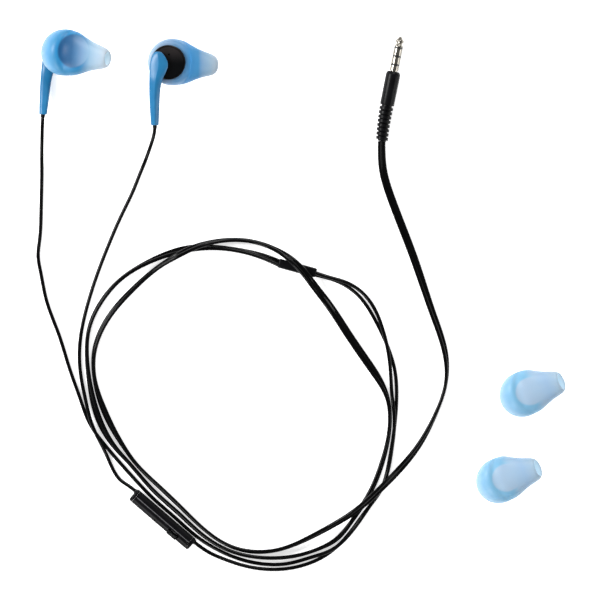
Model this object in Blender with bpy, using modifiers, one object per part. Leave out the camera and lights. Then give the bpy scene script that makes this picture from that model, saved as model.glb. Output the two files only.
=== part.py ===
"""Wired in-ear earphones with gel cushions, an in-line microphone pod and a four-pole plug.

World frame: metres, +Z up, the table top is z = 0, and the origin is the middle of the
area on the table that the two earbuds and the two loose cushions cover.
Lengths below are written in millimetres and scaled by MM where geometry is made.
"""
import math

import bmesh
import bpy
import numpy as np
from mathutils import Matrix, Vector

MM = 0.001
MERGE = 0.00001

# ---------------------------------------------------------------- driving dimensions (mm)
GAP = 0.3
LEAD_DIAMETER = 1.5
TWIN_SPACING = 1.86
BUD_SEGMENTS = 20
DRIVER_SEGMENTS = 16
PLUG_SEGMENTS = 18
CUSHION_SEGMENTS = 20

DISC_RADIUS = 6.9
CUP_RADIUS = 6.0
CUP_WALL = 0.8
CUP_TOP = 4.6
DISC_RIM_TOP = 1.3
MOUTH_START = 1.6
MOUTH_RADIUS = 6.3
STEM_BACK = -3.2
STEM_END = -25.2
STEM_EXIT = -5.35
STEM_LEAN = 0.24
STEM_LEAN_FROM = -7.5
CUSHION_FRONT = 11.5
NOZZLE_ROOT = 8.0
SPARE_SCALE = 0.95
SPARE_SWELL = 0.7
SPARE_RISE = 0.5

LEFT_BUD_AT = (-96.0, 85.0, -STEM_BACK)
LEFT_BUD_TURN = math.radians(-4.6)
RIGHT_BUD_AT = (-53.3, 81.1, CUSHION_FRONT)
SPARE_UPPER_AT = (87.0, -52.3)
SPARE_UPPER_TURN = math.radians(21)
SPARE_LOWER_AT = (77.6, -86.8)
SPARE_LOWER_TURN = math.radians(20.5)

POD_AT = (-55.6, -101.56)
POD_TURN = math.radians(-40.8)
POD_LENGTH = 28.0
POD_DEPTH = 5.6
POD_HEIGHT = 5.0
POD_WALL = 0.8
POD_ROUNDING = 1.9
POD_CAP_SIZE = (1.2, 4.8, 4.5)
BUTTON_X = 6.8
BUTTON_SIZE = (4.6, 1.7, 3.6)
BUTTON_PROUD = 0.15
BUTTON_ROUNDING = 1.5
BUTTON_TRAVEL = 0.3
MIC_X = -2.4

SPLIT_AT = (-1.75, -1.0)
SPLIT_TURN = math.radians(-15.1)
SPLIT_SIZE = (14.4, 3.7, 4.0)

PLUG_AT = (36.8, 77.6)
PLUG_TURN = math.radians(-11.4)
PLUG_RADIUS = 1.75
GRIP_RADIUS = 2.9
GRIP_LENGTH = 13.8
RELIEF_LENGTH = 13.7
RELIEF_RIBS = 8

# Free cord routes, end to end: x, y on the table and the lift of the cord's underside (mm).
# The twin cord's points also hold its roll in degrees: 0 lies flat, 90 stands on edge.
LEFT_LEAD_ROUTE = (
    (-103.45, 59.1, 5.3), (-103.6, 56.1, 5.4), (-103.75, 51.1, 4.4), (-103.9, 44.3, 2.0),
    (-103.9, 37.5, 0.3), (-104.0, 31.0, 0.0), (-104.2, 22.0, 0.0), (-104.8, 10.2, 0.0),
    (-105.4, 3.8, 0.0), (-104.4, -2.6, 0.0), (-102.1, -13.8, 0.0),
    (-96.9, -28.2, 0.0), (-92.9, -41.0, 0.0), (-88.4, -53.8, 0.0), (-84.6, -63.5, 0.0),
    (-79.9, -70.3, 0.0), (-74.6, -76.7, 0.0), (-66.3, -86.0, 0.0), (-58.6, -93.9, 0.0),
    (-50.8, -100.7, 0.0), (-43.0, -107.6, 0.0), (-34.3, -113.3, 0.0), (-24.7, -117.4, 0.0),
    (-15.1, -119.4, 0.0), (-5.5, -119.2, 0.0), (4.1, -116.6, 0.6), (12.0, -113.7, 1.85),
    (20.0, -106.4, 1.85), (27.3, -96.1, 1.85), (33.1, -86.4, 1.85), (36.0, -73.8, 1.9),
    (37.1, -61.8, 1.9), (36.7, -56.6, 1.5), (36.1, -51.6, 0.7), (35.7, -45.0, 0.9),
    (34.6, -34.6, 1.85), (32.5, -25.8, 1.8), (29.3, -17.6, 0.8), (25.0, -11.6, 1.0),
    (21.2, -8.5, 1.5), (16.6, -6.3, 1.8), (10.6, -4.6, 1.9), (5.6, -3.0, 2.1),
)
RIGHT_LEAD_UPPER_ROUTE = (
    (-58.65, 54.7, 7.85), (-59.0, 52.3, 7.0), (-59.75, 49.6, 5.4), (-60.7, 46.8, 3.4),
    (-61.8, 43.8, 1.5), (-62.9, 41.0, 0.4), (-64.4, 37.4, 0.0), (-67.4, 29.9, 0.0),
    (-72.2, 19.8, 0.0), (-76.7, 9.5, 0.0), (-82.7, -6.2, 0.0), (-86.0, -17.0, 0.0),
    (-88.3, -27.8, 0.0), (-88.9, -36.2, 0.0), (-88.3, -44.2, 0.0), (-86.4, -53.8, 0.6),
    (-83.9, -63.4, 1.85), (-81.2, -69.4, 1.9), (-78.2, -75.4, 0.5), (-75.0, -82.4, 0.0),
    (-72.3, -86.0, 0.5), (-69.5, -87.9, 1.4), (-66.6, -90.1, 1.75),
)
RIGHT_LEAD_LOWER_ROUTE = (
    (-42.7, -110.8, 1.75), (-40.2, -112.7, 1.3), (-36.8, -114.9, 0.4), (-31.1, -117.4, 0.0),
    (-24.7, -119.6, 0.0), (-15.1, -121.4, 0.0), (-5.5, -121.2, 0.0), (0.9, -119.8, 0.0),
    (7.3, -117.2, 0.0),
    (13.7, -112.8, 0.0), (19.6, -106.4, 0.0), (25.7, -98.1, 0.0), (31.7, -89.8, 0.0),
    (34.6, -80.2, 0.0), (36.3, -70.6, 0.0), (37.5, -61.0, 0.0), (38.0, -51.4, 0.0),
    (37.3, -42.2, 0.0), (34.3, -32.2, 0.0), (29.4, -21.8, 0.0), (22.7, -12.0, 0.0),
    (15.3, -6.8, 0.0), (9.7, -4.8, 0.1), (5.5, -3.8, 0.35),
)
MAIN_CORD_ROUTE = (
    (-9.0, 0.95, 0.8, 30), (-15.9, 3.7, 0.2, 50), (-25.5, 6.1, 0.0, 72), (-35.1, 7.2, 0.0, 65),
    (-44.7, 6.8, 0.0, 40), (-53.5, 4.6, 0.0, 50), (-63.5, 0.3, 0.0, 75), (-72.8, -5.9, 0.0, 82),
    (-80.1, -14.4, 0.0, 78), (-84.8, -24.4, 0.0, 84), (-85.9, -35.4, 0.0, 82),
    (-84.7, -47.4, 0.0, 70), (-81.6, -60.1, 0.0, 45), (-78.8, -66.4, 0.0, 55),
    (-74.4, -73.0, 0.0, 75), (-68.9, -79.1, 0.0, 84), (-59.8, -89.5, 0.0, 82),
    (-49.5, -98.9, 0.0, 80), (-39.2, -108.1, 0.0, 85), (-27.9, -114.4, 0.0, 88),
    (-15.1, -116.9, 0.0, 88), (-2.3, -116.1, 0.0, 86), (7.3, -113.1, 0.0, 86),
    (13.7, -109.6, 0.0, 75), (19.5, -103.0, 0.0, 80), (24.1, -96.2, 0.0, 72),
    (28.5, -88.4, 0.0, 70), (31.7, -80.2, 0.0, 70), (34.3, -70.6, 0.0, 80),
    (35.3, -61.8, 0.0, 84), (34.1, -52.4, 0.0, 74), (28.4, -41.8, 0.0, 20),
    (19.6, -29.0, 0.0, 0), (9.7, -14.2, 0.8, 8), (6.6, -10.2, 2.3, 12), (3.8, -6.5, 3.9, 20),
    (0.1, -1.8, 4.4, 30), (-4.4, 2.5, 4.0, 45), (-10.2, 6.3, 1.7, 70), (-22.3, 10.0, 0.0, 80),
    (-33.1, 9.8, 0.6, 75), (-39.6, 8.4, 2.4, 65), (-44.7, 6.5, 3.3, 55), (-49.6, 4.0, 3.2, 58),
    (-55.3, 0.7, 1.1, 70), (-67.3, -9.3, 0.0, 68), (-78.1, -22.1, 0.0, 66),
    (-82.8, -33.8, 0.0, 76), (-82.7, -45.8, 0.0, 80), (-78.7, -58.6, 0.0, 50),
    (-75.2, -65.8, 0.0, 60), (-71.6, -71.8, 0.0, 75), (-66.7, -78.7, 0.0, 85),
    (-57.9, -87.6, 0.0, 80), (-47.9, -97.1, 0.0, 82),
    (-37.7, -106.6, 0.0, 88), (-27.9, -112.5, 0.0, 86), (-18.3, -114.5, 0.0, 82),
    (-8.7, -113.5, 0.0, 84), (4.1, -108.3, 0.2, 72), (15.3, -102.2, 2.0, 62), (21.4, -98.2, 3.7, 56),
    (26.7, -93.8, 4.0, 52), (32.0, -88.8, 3.8, 48), (38.5, -82.2, 0.9, 45), (46.7, -72.1, 0.0, 60),
    (53.7, -59.0, 0.0, 84), (57.7, -46.6, 0.0, 88), (57.5, -35.6, 0.0, 62),
    (52.6, -19.6, 0.0, 45), (45.1, 2.4, 0.0, 15), (36.1, 26.1, 0.0, 0), (32.5, 38.6, 0.3, 15),
    (32.0, 49.7, 1.7, 30),
)

# ---------------------------------------------------------------- colours
COLOURS = {
    "gel_blue": ((0.25, 0.52, 0.85), 0.35, 0.0),
    "stem_blue": ((0.10, 0.36, 0.66), 0.30, 0.0),
    "black_gloss": ((0.012, 0.012, 0.014), 0.18, 0.0),
    "black_satin": ((0.02, 0.02, 0.022), 0.45, 0.0),
    "cord_black": ((0.012, 0.012, 0.013), 0.35, 0.0),
    "contact_metal": ((0.72, 0.70, 0.68), 0.18, 1.0),
    "insulator_black": ((0.015, 0.015, 0.015), 0.4, 0.0),
    "steel": ((0.55, 0.56, 0.58), 0.3, 1.0),
    "magnet_grey": ((0.30, 0.30, 0.32), 0.35, 1.0),
    "copper": ((0.75, 0.35, 0.18), 0.35, 1.0),
    "film": ((0.80, 0.76, 0.62), 0.3, 0.0),
    "felt": ((0.55, 0.55, 0.52), 0.9, 0.0),
    "board_green": ((0.03, 0.22, 0.10), 0.5, 0.0),
}


def clear_scene():
    for item in list(bpy.data.objects):
        bpy.data.objects.remove(item, do_unlink=True)


def make_collection(name):
    collection = bpy.data.collections.new(name)
    bpy.context.scene.collection.children.link(collection)
    return collection


def make_materials():
    made = {}
    for name, (colour, roughness, metallic) in COLOURS.items():
        material = bpy.data.materials.new(name)
        material.use_nodes = True
        shader = material.node_tree.nodes["Principled BSDF"]
        shader.inputs["Base Color"].default_value = (*colour, 1.0)
        shader.inputs["Roughness"].default_value = roughness
        shader.inputs["Metallic"].default_value = metallic
        made[name] = material
    return made


def link(obj, parent, material):
    """Puts a part in the model's collection, on its parent and in its material."""
    PARTS.objects.link(obj)
    obj.parent = parent
    obj.data.materials.clear()
    obj.data.materials.append(MATERIALS[material])
    return obj


def make_empty(name, location, turn_z=0.0, turn_x=0.0):
    empty = bpy.data.objects.new(name, None)
    PARTS.objects.link(empty)
    empty.location = Vector(location) * MM
    empty.rotation_euler = (turn_x, 0.0, turn_z)
    empty.empty_display_size = 0.005
    return empty


def mesh_object(name, vertices, faces, parent, material):
    mesh = bpy.data.meshes.new(name)
    mesh.from_pydata([tuple(c * MM for c in v) for v in vertices], [], faces)
    mesh.validate()
    obj = link(bpy.data.objects.new(name, mesh), parent, material)
    mesh.shade_smooth()
    mesh.set_sharp_from_angle(angle=math.radians(40))
    return obj


# ---------------------------------------------------------------- shape tools
def turned(name, profile, segments, parent, material, closed=False):
    """A turned part: profile points are (radius, height), down the outer side."""
    mesh = bpy.data.meshes.new(name)
    points = [(r * MM, 0.0, h * MM) for r, h in profile]
    edges = [(i, i + 1) for i in range(len(points) - 1)]
    if closed:
        edges.append((len(points) - 1, 0))
    mesh.from_pydata(points, edges, [])
    obj = link(bpy.data.objects.new(name, mesh), parent, material)
    screw = obj.modifiers.new("turn", "SCREW")
    screw.steps = segments
    screw.render_steps = segments
    screw.use_merge_vertices = True
    screw.merge_threshold = MERGE
    screw.use_smooth_shade = True
    return obj


def disc(name, radius, low, high, segments, parent, material):
    profile = ((0.0, high), (radius, high), (radius, low), (0.0, low))
    return turned(name, profile, segments, parent, material)


def ring(name, inner, outer, low, high, segments, parent, material):
    profile = ((inner, high), (outer, high), (outer, low), (inner, low))
    return turned(name, profile, segments, parent, material, closed=True)


def box(name, size, centre, parent, material, bevel=0.0, bevel_segments=2):
    """A box from a cube primitive, with an optional Bevel modifier."""
    bm = bmesh.new()
    bmesh.ops.create_cube(bm, size=1.0)
    bmesh.ops.scale(bm, vec=Vector(size) * MM, verts=bm.verts)
    bmesh.ops.translate(bm, vec=Vector(centre) * MM, verts=bm.verts)
    mesh = bpy.data.meshes.new(name)
    bm.to_mesh(mesh)
    bm.free()
    obj = link(bpy.data.objects.new(name, mesh), parent, material)
    if bevel > 0.0:
        modifier = obj.modifiers.new("bevel", "BEVEL")
        modifier.width = bevel * MM
        modifier.segments = bevel_segments
        modifier.limit_method = "ANGLE"
    return obj


def round_edges(obj, radius, chosen, other=0.0):
    """Rounds the edges whose two ends are chosen by the full radius, and the rest by a share."""
    modifier = obj.modifiers.new("round", "BEVEL")
    modifier.width = radius * MM
    modifier.segments = 3
    modifier.limit_method = "WEIGHT"
    weights = obj.data.attributes.new("bevel_weight_edge", "FLOAT", "EDGE")
    for edge in obj.data.edges:
        ends = [obj.data.vertices[i].co for i in edge.vertices]
        weights.data[edge.index].value = 1.0 if all(chosen(co) for co in ends) else other


def as_cutter(obj):
    PARTS.objects.unlink(obj)
    CUTTERS.objects.link(obj)
    obj.hide_render = True
    obj.display_type = "WIRE"
    return obj


def cut(obj, cutter):
    modifier = obj.modifiers.new("cut_" + cutter.name, "BOOLEAN")
    modifier.operation = "DIFFERENCE"
    modifier.solver = "EXACT"
    modifier.object = cutter


def bridge(rows, count, closed):
    """Quads between successive rows of count points, outward for rows that run anticlockwise."""
    faces = []
    spans = len(rows) if closed else len(rows) - 1
    for i in range(spans):
        low = rows[i]
        high = rows[(i + 1) % len(rows)]
        for k in range(count):
            n = (k + 1) % count
            faces.append((low + k, low + n, high + n, high + k))
    return faces


def loft(name, sections, count, parent, material, hand=1, tube=False):
    """A skin over sections, each a function of the angle that gives (u, v, w).

    A tube joins its last section to its first, and a plain loft is capped at both ends.
    hand = -1 mirrors the shape in v.
    """
    vertices = []
    for section in sections:
        for k in range(count):
            u, v, w = section(2.0 * math.pi * k / count)
            vertices.append((u, hand * v, w))
    rows = [i * count for i in range(len(sections))]
    faces = bridge(rows, count, tube)
    if not tube:
        faces.append(tuple(reversed(range(count))))
        faces.append(tuple(rows[-1] + k for k in range(count)))
    if hand < 0:
        faces = [tuple(reversed(face)) for face in faces]
    return mesh_object(name, vertices, faces, parent, material)


def tilted_ellipse(u, v, w, tilt, a, b):
    """A section across a bent spine, tilted about v so that its front leans towards +u."""
    lean = math.radians(tilt)

    def at(angle):
        reach = a * math.cos(angle)
        return (u + reach * math.cos(lean), v + b * math.sin(angle), w - reach * math.sin(lean))
    return at


# ---------------------------------------------------------------- cords
def smooth_curve(route, count):
    """count points, evenly spaced, on the natural cubic spline through a route."""
    points = np.array(route, float)
    steps = np.linalg.norm(np.diff(points[:, :3], axis=0), axis=1)
    knots = np.concatenate(([0.0], np.cumsum(steps)))
    size = len(points)
    system = np.eye(size)
    right = np.zeros_like(points)
    for i in range(1, size - 1):
        system[i, i - 1] = steps[i - 1]
        system[i, i] = 2.0 * (steps[i - 1] + steps[i])
        system[i, i + 1] = steps[i]
        right[i] = 6.0 * ((points[i + 1] - points[i]) / steps[i]
                          - (points[i] - points[i - 1]) / steps[i - 1])
    bend = np.linalg.solve(system, right)
    places = np.linspace(0.0, knots[-1], count)
    result = []
    for s in places:
        i = min(int(np.searchsorted(knots, s, side="right")) - 1, size - 2)
        h = steps[i]
        a = (knots[i + 1] - s) / h
        b = (s - knots[i]) / h
        curve = a * points[i] + b * points[i + 1]
        curve += ((a ** 3 - a) * bend[i] + (b ** 3 - b) * bend[i + 1]) * h * h / 6.0
        result.append(curve)
    return result


def cord(name, points, material, half_width=0.0, tilts=None):
    """A free cord's tube: a curve with round sides, widened by half_width for a twin cord."""
    data = bpy.data.curves.new(name, "CURVE")
    data.dimensions = "3D"
    data.bevel_depth = LEAD_DIAMETER / 2.0 * MM
    data.bevel_resolution = 2
    data.extrude = half_width * MM
    data.use_fill_caps = True
    data.twist_mode = "Z_UP"
    spline = data.splines.new("POLY")
    spline.points.add(len(points) - 1)
    for i, (x, y, z) in enumerate(points):
        spline.points[i].co = (x * MM, y * MM, z * MM, 1.0)
        if tilts is not None:
            spline.points[i].tilt = tilts[i]
    return link(bpy.data.objects.new(name, data), None, material)


def make_lead(name, route, count):
    radius = LEAD_DIAMETER / 2.0
    points = [(x, y, radius + max(lift, 0.0)) for x, y, lift in smooth_curve(route, count)]
    cord(name, points, "cord_black")


def make_main_cord(name, route, count):
    points = []
    tilts = []
    for x, y, lift, roll in smooth_curve(route, count):
        roll = math.radians(min(max(roll, 0.0), 90.0))
        rise = TWIN_SPACING / 2.0 * math.sin(roll)
        points.append((x, y, LEAD_DIAMETER / 2.0 + rise + max(lift, 0.0)))
        tilts.append(roll - math.pi / 2.0)
    cord(name, points, "cord_black", TWIN_SPACING / 2.0, tilts)


# ---------------------------------------------------------------- earbud
def make_cushion(name, parent, hand, scale=1.0, swell=0.0, rise=0.0):
    """The gel cushion: a thick ring round the housing that turns into an angled nozzle.

    swell widens the nozzle from its root on, and rise moves it towards +v.
    """
    outer = (
        (0.0, 0.0, MOUTH_START, 0, 7.3, 7.3), (0.1, 0.1, 2.0, 0, 8.3, 8.5),
        (0.4, 0.2, 3.6, 8, 8.8, 9.3), (1.6, 0.2, 5.6, 25, 8.3, 9.3),
        (4.4, 0.1, 6.8, 42, 6.6, 8.8), (8.0, -0.2, 7.2, 55, 5.2, 7.7),
        (12.0, -0.5, 7.4, 61, 4.4, 5.6), (15.5, -0.7, 7.7, 63, 3.9, 4.4),
        (17.5, -0.9, 8.05, 63, 3.7, 3.8), (18.1, -0.9, 8.25, 63, 3.3, 3.4),
    )
    inner = (
        (17.9, -0.9, 8.2, 63, 2.65, 2.75), (15.2, -0.8, 7.7, 63, 3.1, 3.4),
        (12.0, -0.5, 7.35, 61, 3.6, 4.5), (8.0, -0.2, 7.1, 55, 4.2, 5.9),
        (4.6, 0.1, 6.6, 42, 5.4, 7.1), (1.6, 0.1, 6.0, 22, 6.3, 7.2),
        (0.0, 0.0, 5.0, 0, MOUTH_RADIUS, MOUTH_RADIUS),
        (0.0, 0.0, MOUTH_START, 0, MOUTH_RADIUS, MOUTH_RADIUS),
    )
    sections = []
    for u, v, w, tilt, a, b in outer + inner:
        share = min(1.0, u / NOZZLE_ROOT)
        sections.append(tilted_ellipse(u * scale, v * scale + rise * share, w * scale, tilt,
                                       a * scale, b * scale + swell * share))
    loft(name, sections, CUSHION_SEGMENTS, parent, "gel_blue", hand, tube=True)


def make_rear_cup(side, parent, hand):
    """The black rear shell: a domed disc outside the cushion and a cup inside it."""
    dome = [(DISC_RADIUS * k / 3.0, 0.5 * (k / 3.0) ** 2) for k in range(3, -1, -1)]
    floor = 0.95
    inner = CUP_RADIUS - CUP_WALL
    profile = [
        (0.0, floor), (inner, floor), (inner, CUP_TOP), (CUP_RADIUS, CUP_TOP),
        (CUP_RADIUS, DISC_RIM_TOP), (DISC_RADIUS, DISC_RIM_TOP),
    ] + dome
    cup = turned("rear_cup_" + side, profile, BUD_SEGMENTS, parent, "black_gloss")
    vent = disc("vent_cutter_" + side, 0.32, -1.0, 2.0, 10, parent, "black_gloss")
    vent.location = (0.3 * MM, hand * 3.1 * MM, 0.0)
    cut(cup, as_cutter(vent))


def make_front_baffle(side, parent, hand):
    """The angled front shell that carries the sound outlet."""
    outer = (
        (0.0, CUP_TOP + GAP, 0, 6.0, 6.0), (0.35, 5.6, 6, 5.45, 5.7), (1.2, 6.6, 20, 4.4, 4.9),
        (2.2, 7.45, 32, 3.4, 3.9), (2.45, 7.8, 35, 2.9, 3.3),
    )
    inner = (
        (2.4, 7.7, 35, 2.4, 2.6), (2.0, 7.1, 32, 2.7, 3.1), (1.1, 6.2, 20, 3.6, 4.1),
        (0.3, 5.4, 6, 4.75, 4.95), (0.0, CUP_TOP + GAP, 0, 5.25, 5.25),
    )
    sections = [tilted_ellipse(u, 0.0, w, tilt, a, b) for u, w, tilt, a, b in outer + inner]
    loft("front_baffle_" + side, sections, BUD_SEGMENTS, parent, "black_satin", hand, tube=True)


def make_grille(side, parent, hand):
    """A punched disc that closes the sound outlet."""
    grille = disc("grille_" + side, 2.15, -0.15, 0.15, DRIVER_SEGMENTS, parent, "steel")
    place = Matrix.Translation(Vector((2.3, 0.0, 7.58)) * MM)
    lean = Matrix.Rotation(math.radians(35), 4, "Y")
    grille.matrix_local = place @ lean
    holes = bmesh.new()
    spots = [(0.0, 0.0)]
    for k in range(5):
        angle = math.radians(72 * k)
        spots.append((1.25 * math.cos(angle), 1.25 * math.sin(angle)))
    for x, y in spots:
        spot = Matrix.Translation(Vector((x, y, 0.0)) * MM)
        bmesh.ops.create_cone(holes, cap_ends=True, segments=6, radius1=0.36 * MM,
                              radius2=0.36 * MM, depth=1.0 * MM, matrix=spot)
    mesh = bpy.data.meshes.new("grille_holes_" + side)
    holes.to_mesh(mesh)
    holes.free()
    cutter = link(bpy.data.objects.new("grille_holes_" + side, mesh), parent, "steel")
    cutter.matrix_local = place @ lean
    cut(grille, as_cutter(cutter))


def make_driver(side, parent):
    """The moving-coil driver inside the rear cup, from the felt at the back to the film."""
    n = DRIVER_SEGMENTS
    disc("damping_felt_" + side, 4.6, 1.2, 1.45, n, parent, "felt")
    yoke = ((0.0, 2.1), (3.4, 2.1), (3.4, 3.7), (3.9, 3.7), (3.9, 1.7), (0.0, 1.7))
    turned("yoke_" + side, yoke, n, parent, "steel")
    disc("magnet_" + side, 2.7, 2.35, 3.15, n, parent, "magnet_grey")
    disc("pole_plate_" + side, 2.7, 3.4, 3.75, n, parent, "steel")
    ring("voice_coil_" + side, 2.92, 3.18, 2.6, 4.15, n, parent, "copper")
    basket = ((4.15, 4.2), (4.95, 4.2), (4.95, 3.4), (4.6, 3.1), (4.6, 1.75), (4.15, 1.75))
    turned("driver_frame_" + side, basket, n, parent, "black_satin", closed=True)
    top = ((0.0, 5.05), (1.6, 4.88), (2.9, 4.5), (3.9, 4.78), (4.85, 4.6))
    under = [(r, h - 0.15) for r, h in reversed(top)]
    turned("diaphragm_" + side, list(top) + under, n, parent, "film")


def stem_section(v, left, right, back, front, squareness=0.85):
    """A rounded section of the stem, flattened a little towards a box."""
    u0 = (left + right) / 2.0
    w0 = (back + front) / 2.0
    a = (right - left) / 2.0
    b = (front - back) / 2.0

    def at(angle):
        c = math.cos(angle)
        s = math.sin(angle)
        u = a * math.copysign(abs(c) ** squareness, c)
        w = b * math.copysign(abs(s) ** squareness, s)
        return (u0 + u, v, w0 + w)
    return at


def make_stem(side, parent, hand):
    """The blue stem: a teardrop head behind the disc that narrows to the cord's exit."""
    rows = (
        (4.15, -4.9, -3.3, -2.3, -1.1), (3.7, -5.6, -2.6, -2.7, -0.6),
        (2.4, -6.5, -1.4, -3.0, -0.35), (0.3, -7.05, -0.1, -3.15, -GAP),
        (-1.6, -7.3, 0.2, STEM_BACK, -GAP), (-3.8, -7.45, -0.3, STEM_BACK, -GAP),
        (-5.9, -7.5, -1.5, STEM_BACK, -GAP), (-8.1, -7.5, -2.4, STEM_BACK, -GAP),
        (-11.0, -7.5, -3.0, STEM_BACK, -0.1), (-15.2, -7.45, -3.4, STEM_BACK, 0.1),
        (-19.4, -7.25, -3.55, STEM_BACK, 0.0), (-24.3, -6.95, -3.75, -3.1, -0.1),
        (STEM_END, -6.7, -4.0, -2.9, -0.4),
    )
    sections = []
    for v, left, right, back, front in rows:
        lean = STEM_LEAN * max(0.0, STEM_LEAN_FROM - v)
        sections.append(stem_section(v, left, right, back + lean, front + lean))
    stem = loft("stem_" + side, sections, 16, parent, "stem_blue", hand)
    exit_w = -1.65 + STEM_LEAN * (STEM_LEAN_FROM - STEM_END)
    turn = hand * (math.pi / 2.0 - math.atan(STEM_LEAN))
    place = Matrix.Translation(Vector((STEM_EXIT, hand * STEM_END, exit_w)) * MM)
    place = place @ Matrix.Rotation(turn, 4, "X")
    bore = disc("bore_cutter_" + side, 0.85, -2.0, 2.0, 12, parent, "stem_blue")
    bore.matrix_local = place
    cut(stem, as_cutter(bore))
    profile = ((0.0, 0.9), (1.1, 0.9), (1.1, GAP), (0.55, GAP), (0.55, -1.6), (0.0, -1.6))
    bushing = turned("cord_bushing_" + side, profile, 12, parent, "black_satin")
    bushing.matrix_local = place


def make_earbud(side, location, turn, hand):
    """One earbud. Its frame: +x to the nozzle tip, +z to the front, z = 0 behind the disc."""
    flip = 0.0 if hand > 0 else math.pi
    frame = make_empty("earbud_frame_" + side, location, turn, flip)
    make_cushion("cushion_" + side, frame, hand)
    make_rear_cup(side, frame, hand)
    make_front_baffle(side, frame, hand)
    make_grille(side, frame, hand)
    make_driver(side, frame)
    make_stem(side, frame, hand)


def make_spare_cushion(name, location, turn):
    """A loose cushion of the next smaller size, standing on its mouth."""
    x, y = location
    frame = make_empty(name + "_frame", (x, y, -MOUTH_START * SPARE_SCALE), turn)
    make_cushion(name, frame, 1, SPARE_SCALE, SPARE_SWELL, SPARE_RISE)


# ---------------------------------------------------------------- microphone pod
def make_pod_shell(name, parent, facing):
    """Half of the pod's case. facing is -1 for the button side and 1 for the plain side."""
    depth = POD_DEPTH / 2.0 - 0.1
    middle = facing * (0.1 + depth / 2.0)
    shell = box(name, (POD_LENGTH, depth, POD_HEIGHT), (0.0, middle, POD_HEIGHT / 2.0), parent,
                "black_satin")
    round_edges(shell, POD_ROUNDING, lambda co: abs(co.y) > depth * 0.9 * MM)
    hollow = box(name + "_hollow", (POD_LENGTH - 2 * POD_WALL, depth, POD_HEIGHT - 2 * POD_WALL),
                 (0.0, middle - facing * POD_WALL, POD_HEIGHT / 2.0), parent, "black_satin")
    cut(shell, as_cutter(hollow))
    return shell


def make_button(front, frame):
    """The answer button, which wraps over the case's long edge and is pressed sideways."""
    length, depth, height = BUTTON_SIZE
    low = POD_HEIGHT + BUTTON_PROUD - height
    outside = -POD_DEPTH / 2.0 - 2 * BUTTON_PROUD
    back = outside + depth
    window_back = back + BUTTON_TRAVEL + GAP
    window = box("button_window", (length + 2 * GAP, 4.0, POD_HEIGHT),
                 (BUTTON_X, window_back - 2.0, low - GAP + POD_HEIGHT / 2.0), frame, "black_satin")
    cut(front, as_cutter(window))
    origin = Vector((BUTTON_X, outside + depth / 2.0, POD_HEIGHT / 2.0))
    button = box("answer_button", BUTTON_SIZE, (0.0, 0.0, low + height / 2.0 - origin.z), frame,
                 "black_gloss")
    button.location = origin * MM
    round_edges(button, BUTTON_ROUNDING, lambda co: co.y < 0.0 and co.z > 0.0, 0.12)
    return back


def make_pod():
    """The in-line pod, lying with its parting line up and its button on one long edge."""
    frame = make_empty("pod_frame", (*POD_AT, 0.0), POD_TURN)
    front = make_pod_shell("pod_front_shell", frame, -1)
    make_pod_shell("pod_rear_shell", frame, 1)
    mid = POD_HEIGHT / 2.0
    port = disc("mic_port", 0.4, -1.0, 1.0, 10, frame, "black_satin")
    slant = POD_ROUNDING * (1.0 - math.sqrt(0.5))
    port.matrix_local = (Matrix.Translation(Vector((MIC_X, slant - POD_DEPTH / 2.0,
                                                    POD_HEIGHT - slant)) * MM)
                         @ Matrix.Rotation(math.radians(45), 4, "X"))
    cut(front, as_cutter(port))
    button_back = make_button(front, frame)
    box("circuit_board", (24.0, 0.8, 2.8), (0.0, 1.1, mid), frame, "board_green")
    switch_back = 0.4
    switch_front = button_back + BUTTON_TRAVEL + 0.05
    box("tact_switch", (3.0, switch_back - switch_front, 2.6),
        (BUTTON_X, (switch_back + switch_front) / 2.0, mid), frame, "steel", 0.15, 1)
    capsule = disc("microphone_capsule", 1.3, -0.55, 0.55, 16, frame, "contact_metal")
    capsule.matrix_local = (Matrix.Translation(Vector((MIC_X, -0.8, mid)) * MM)
                            @ Matrix.Rotation(math.radians(90), 4, "X"))
    for name, way in (("pod_grommet_upper", -1), ("pod_grommet_lower", 1)):
        length = POD_CAP_SIZE[0]
        centre = (way * (POD_LENGTH / 2.0 + GAP + length / 2.0), 0.0, mid)
        box(name, POD_CAP_SIZE, centre, frame, "black_satin", 0.5)


# ---------------------------------------------------------------- splitter and plug
def make_splitter():
    """The moulded block, in two halves, where the twin cord parts into two leads."""
    frame = make_empty("splitter_frame", (*SPLIT_AT, 0.0), SPLIT_TURN)
    length, width, height = SPLIT_SIZE
    half = height / 2.0 - 0.1
    for name, middle in (("splitter_base", half / 2.0), ("splitter_cover", height - half / 2.0)):
        box(name, (length, width, half), (0.0, 0.0, middle), frame, "black_satin", 0.5)


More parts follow.
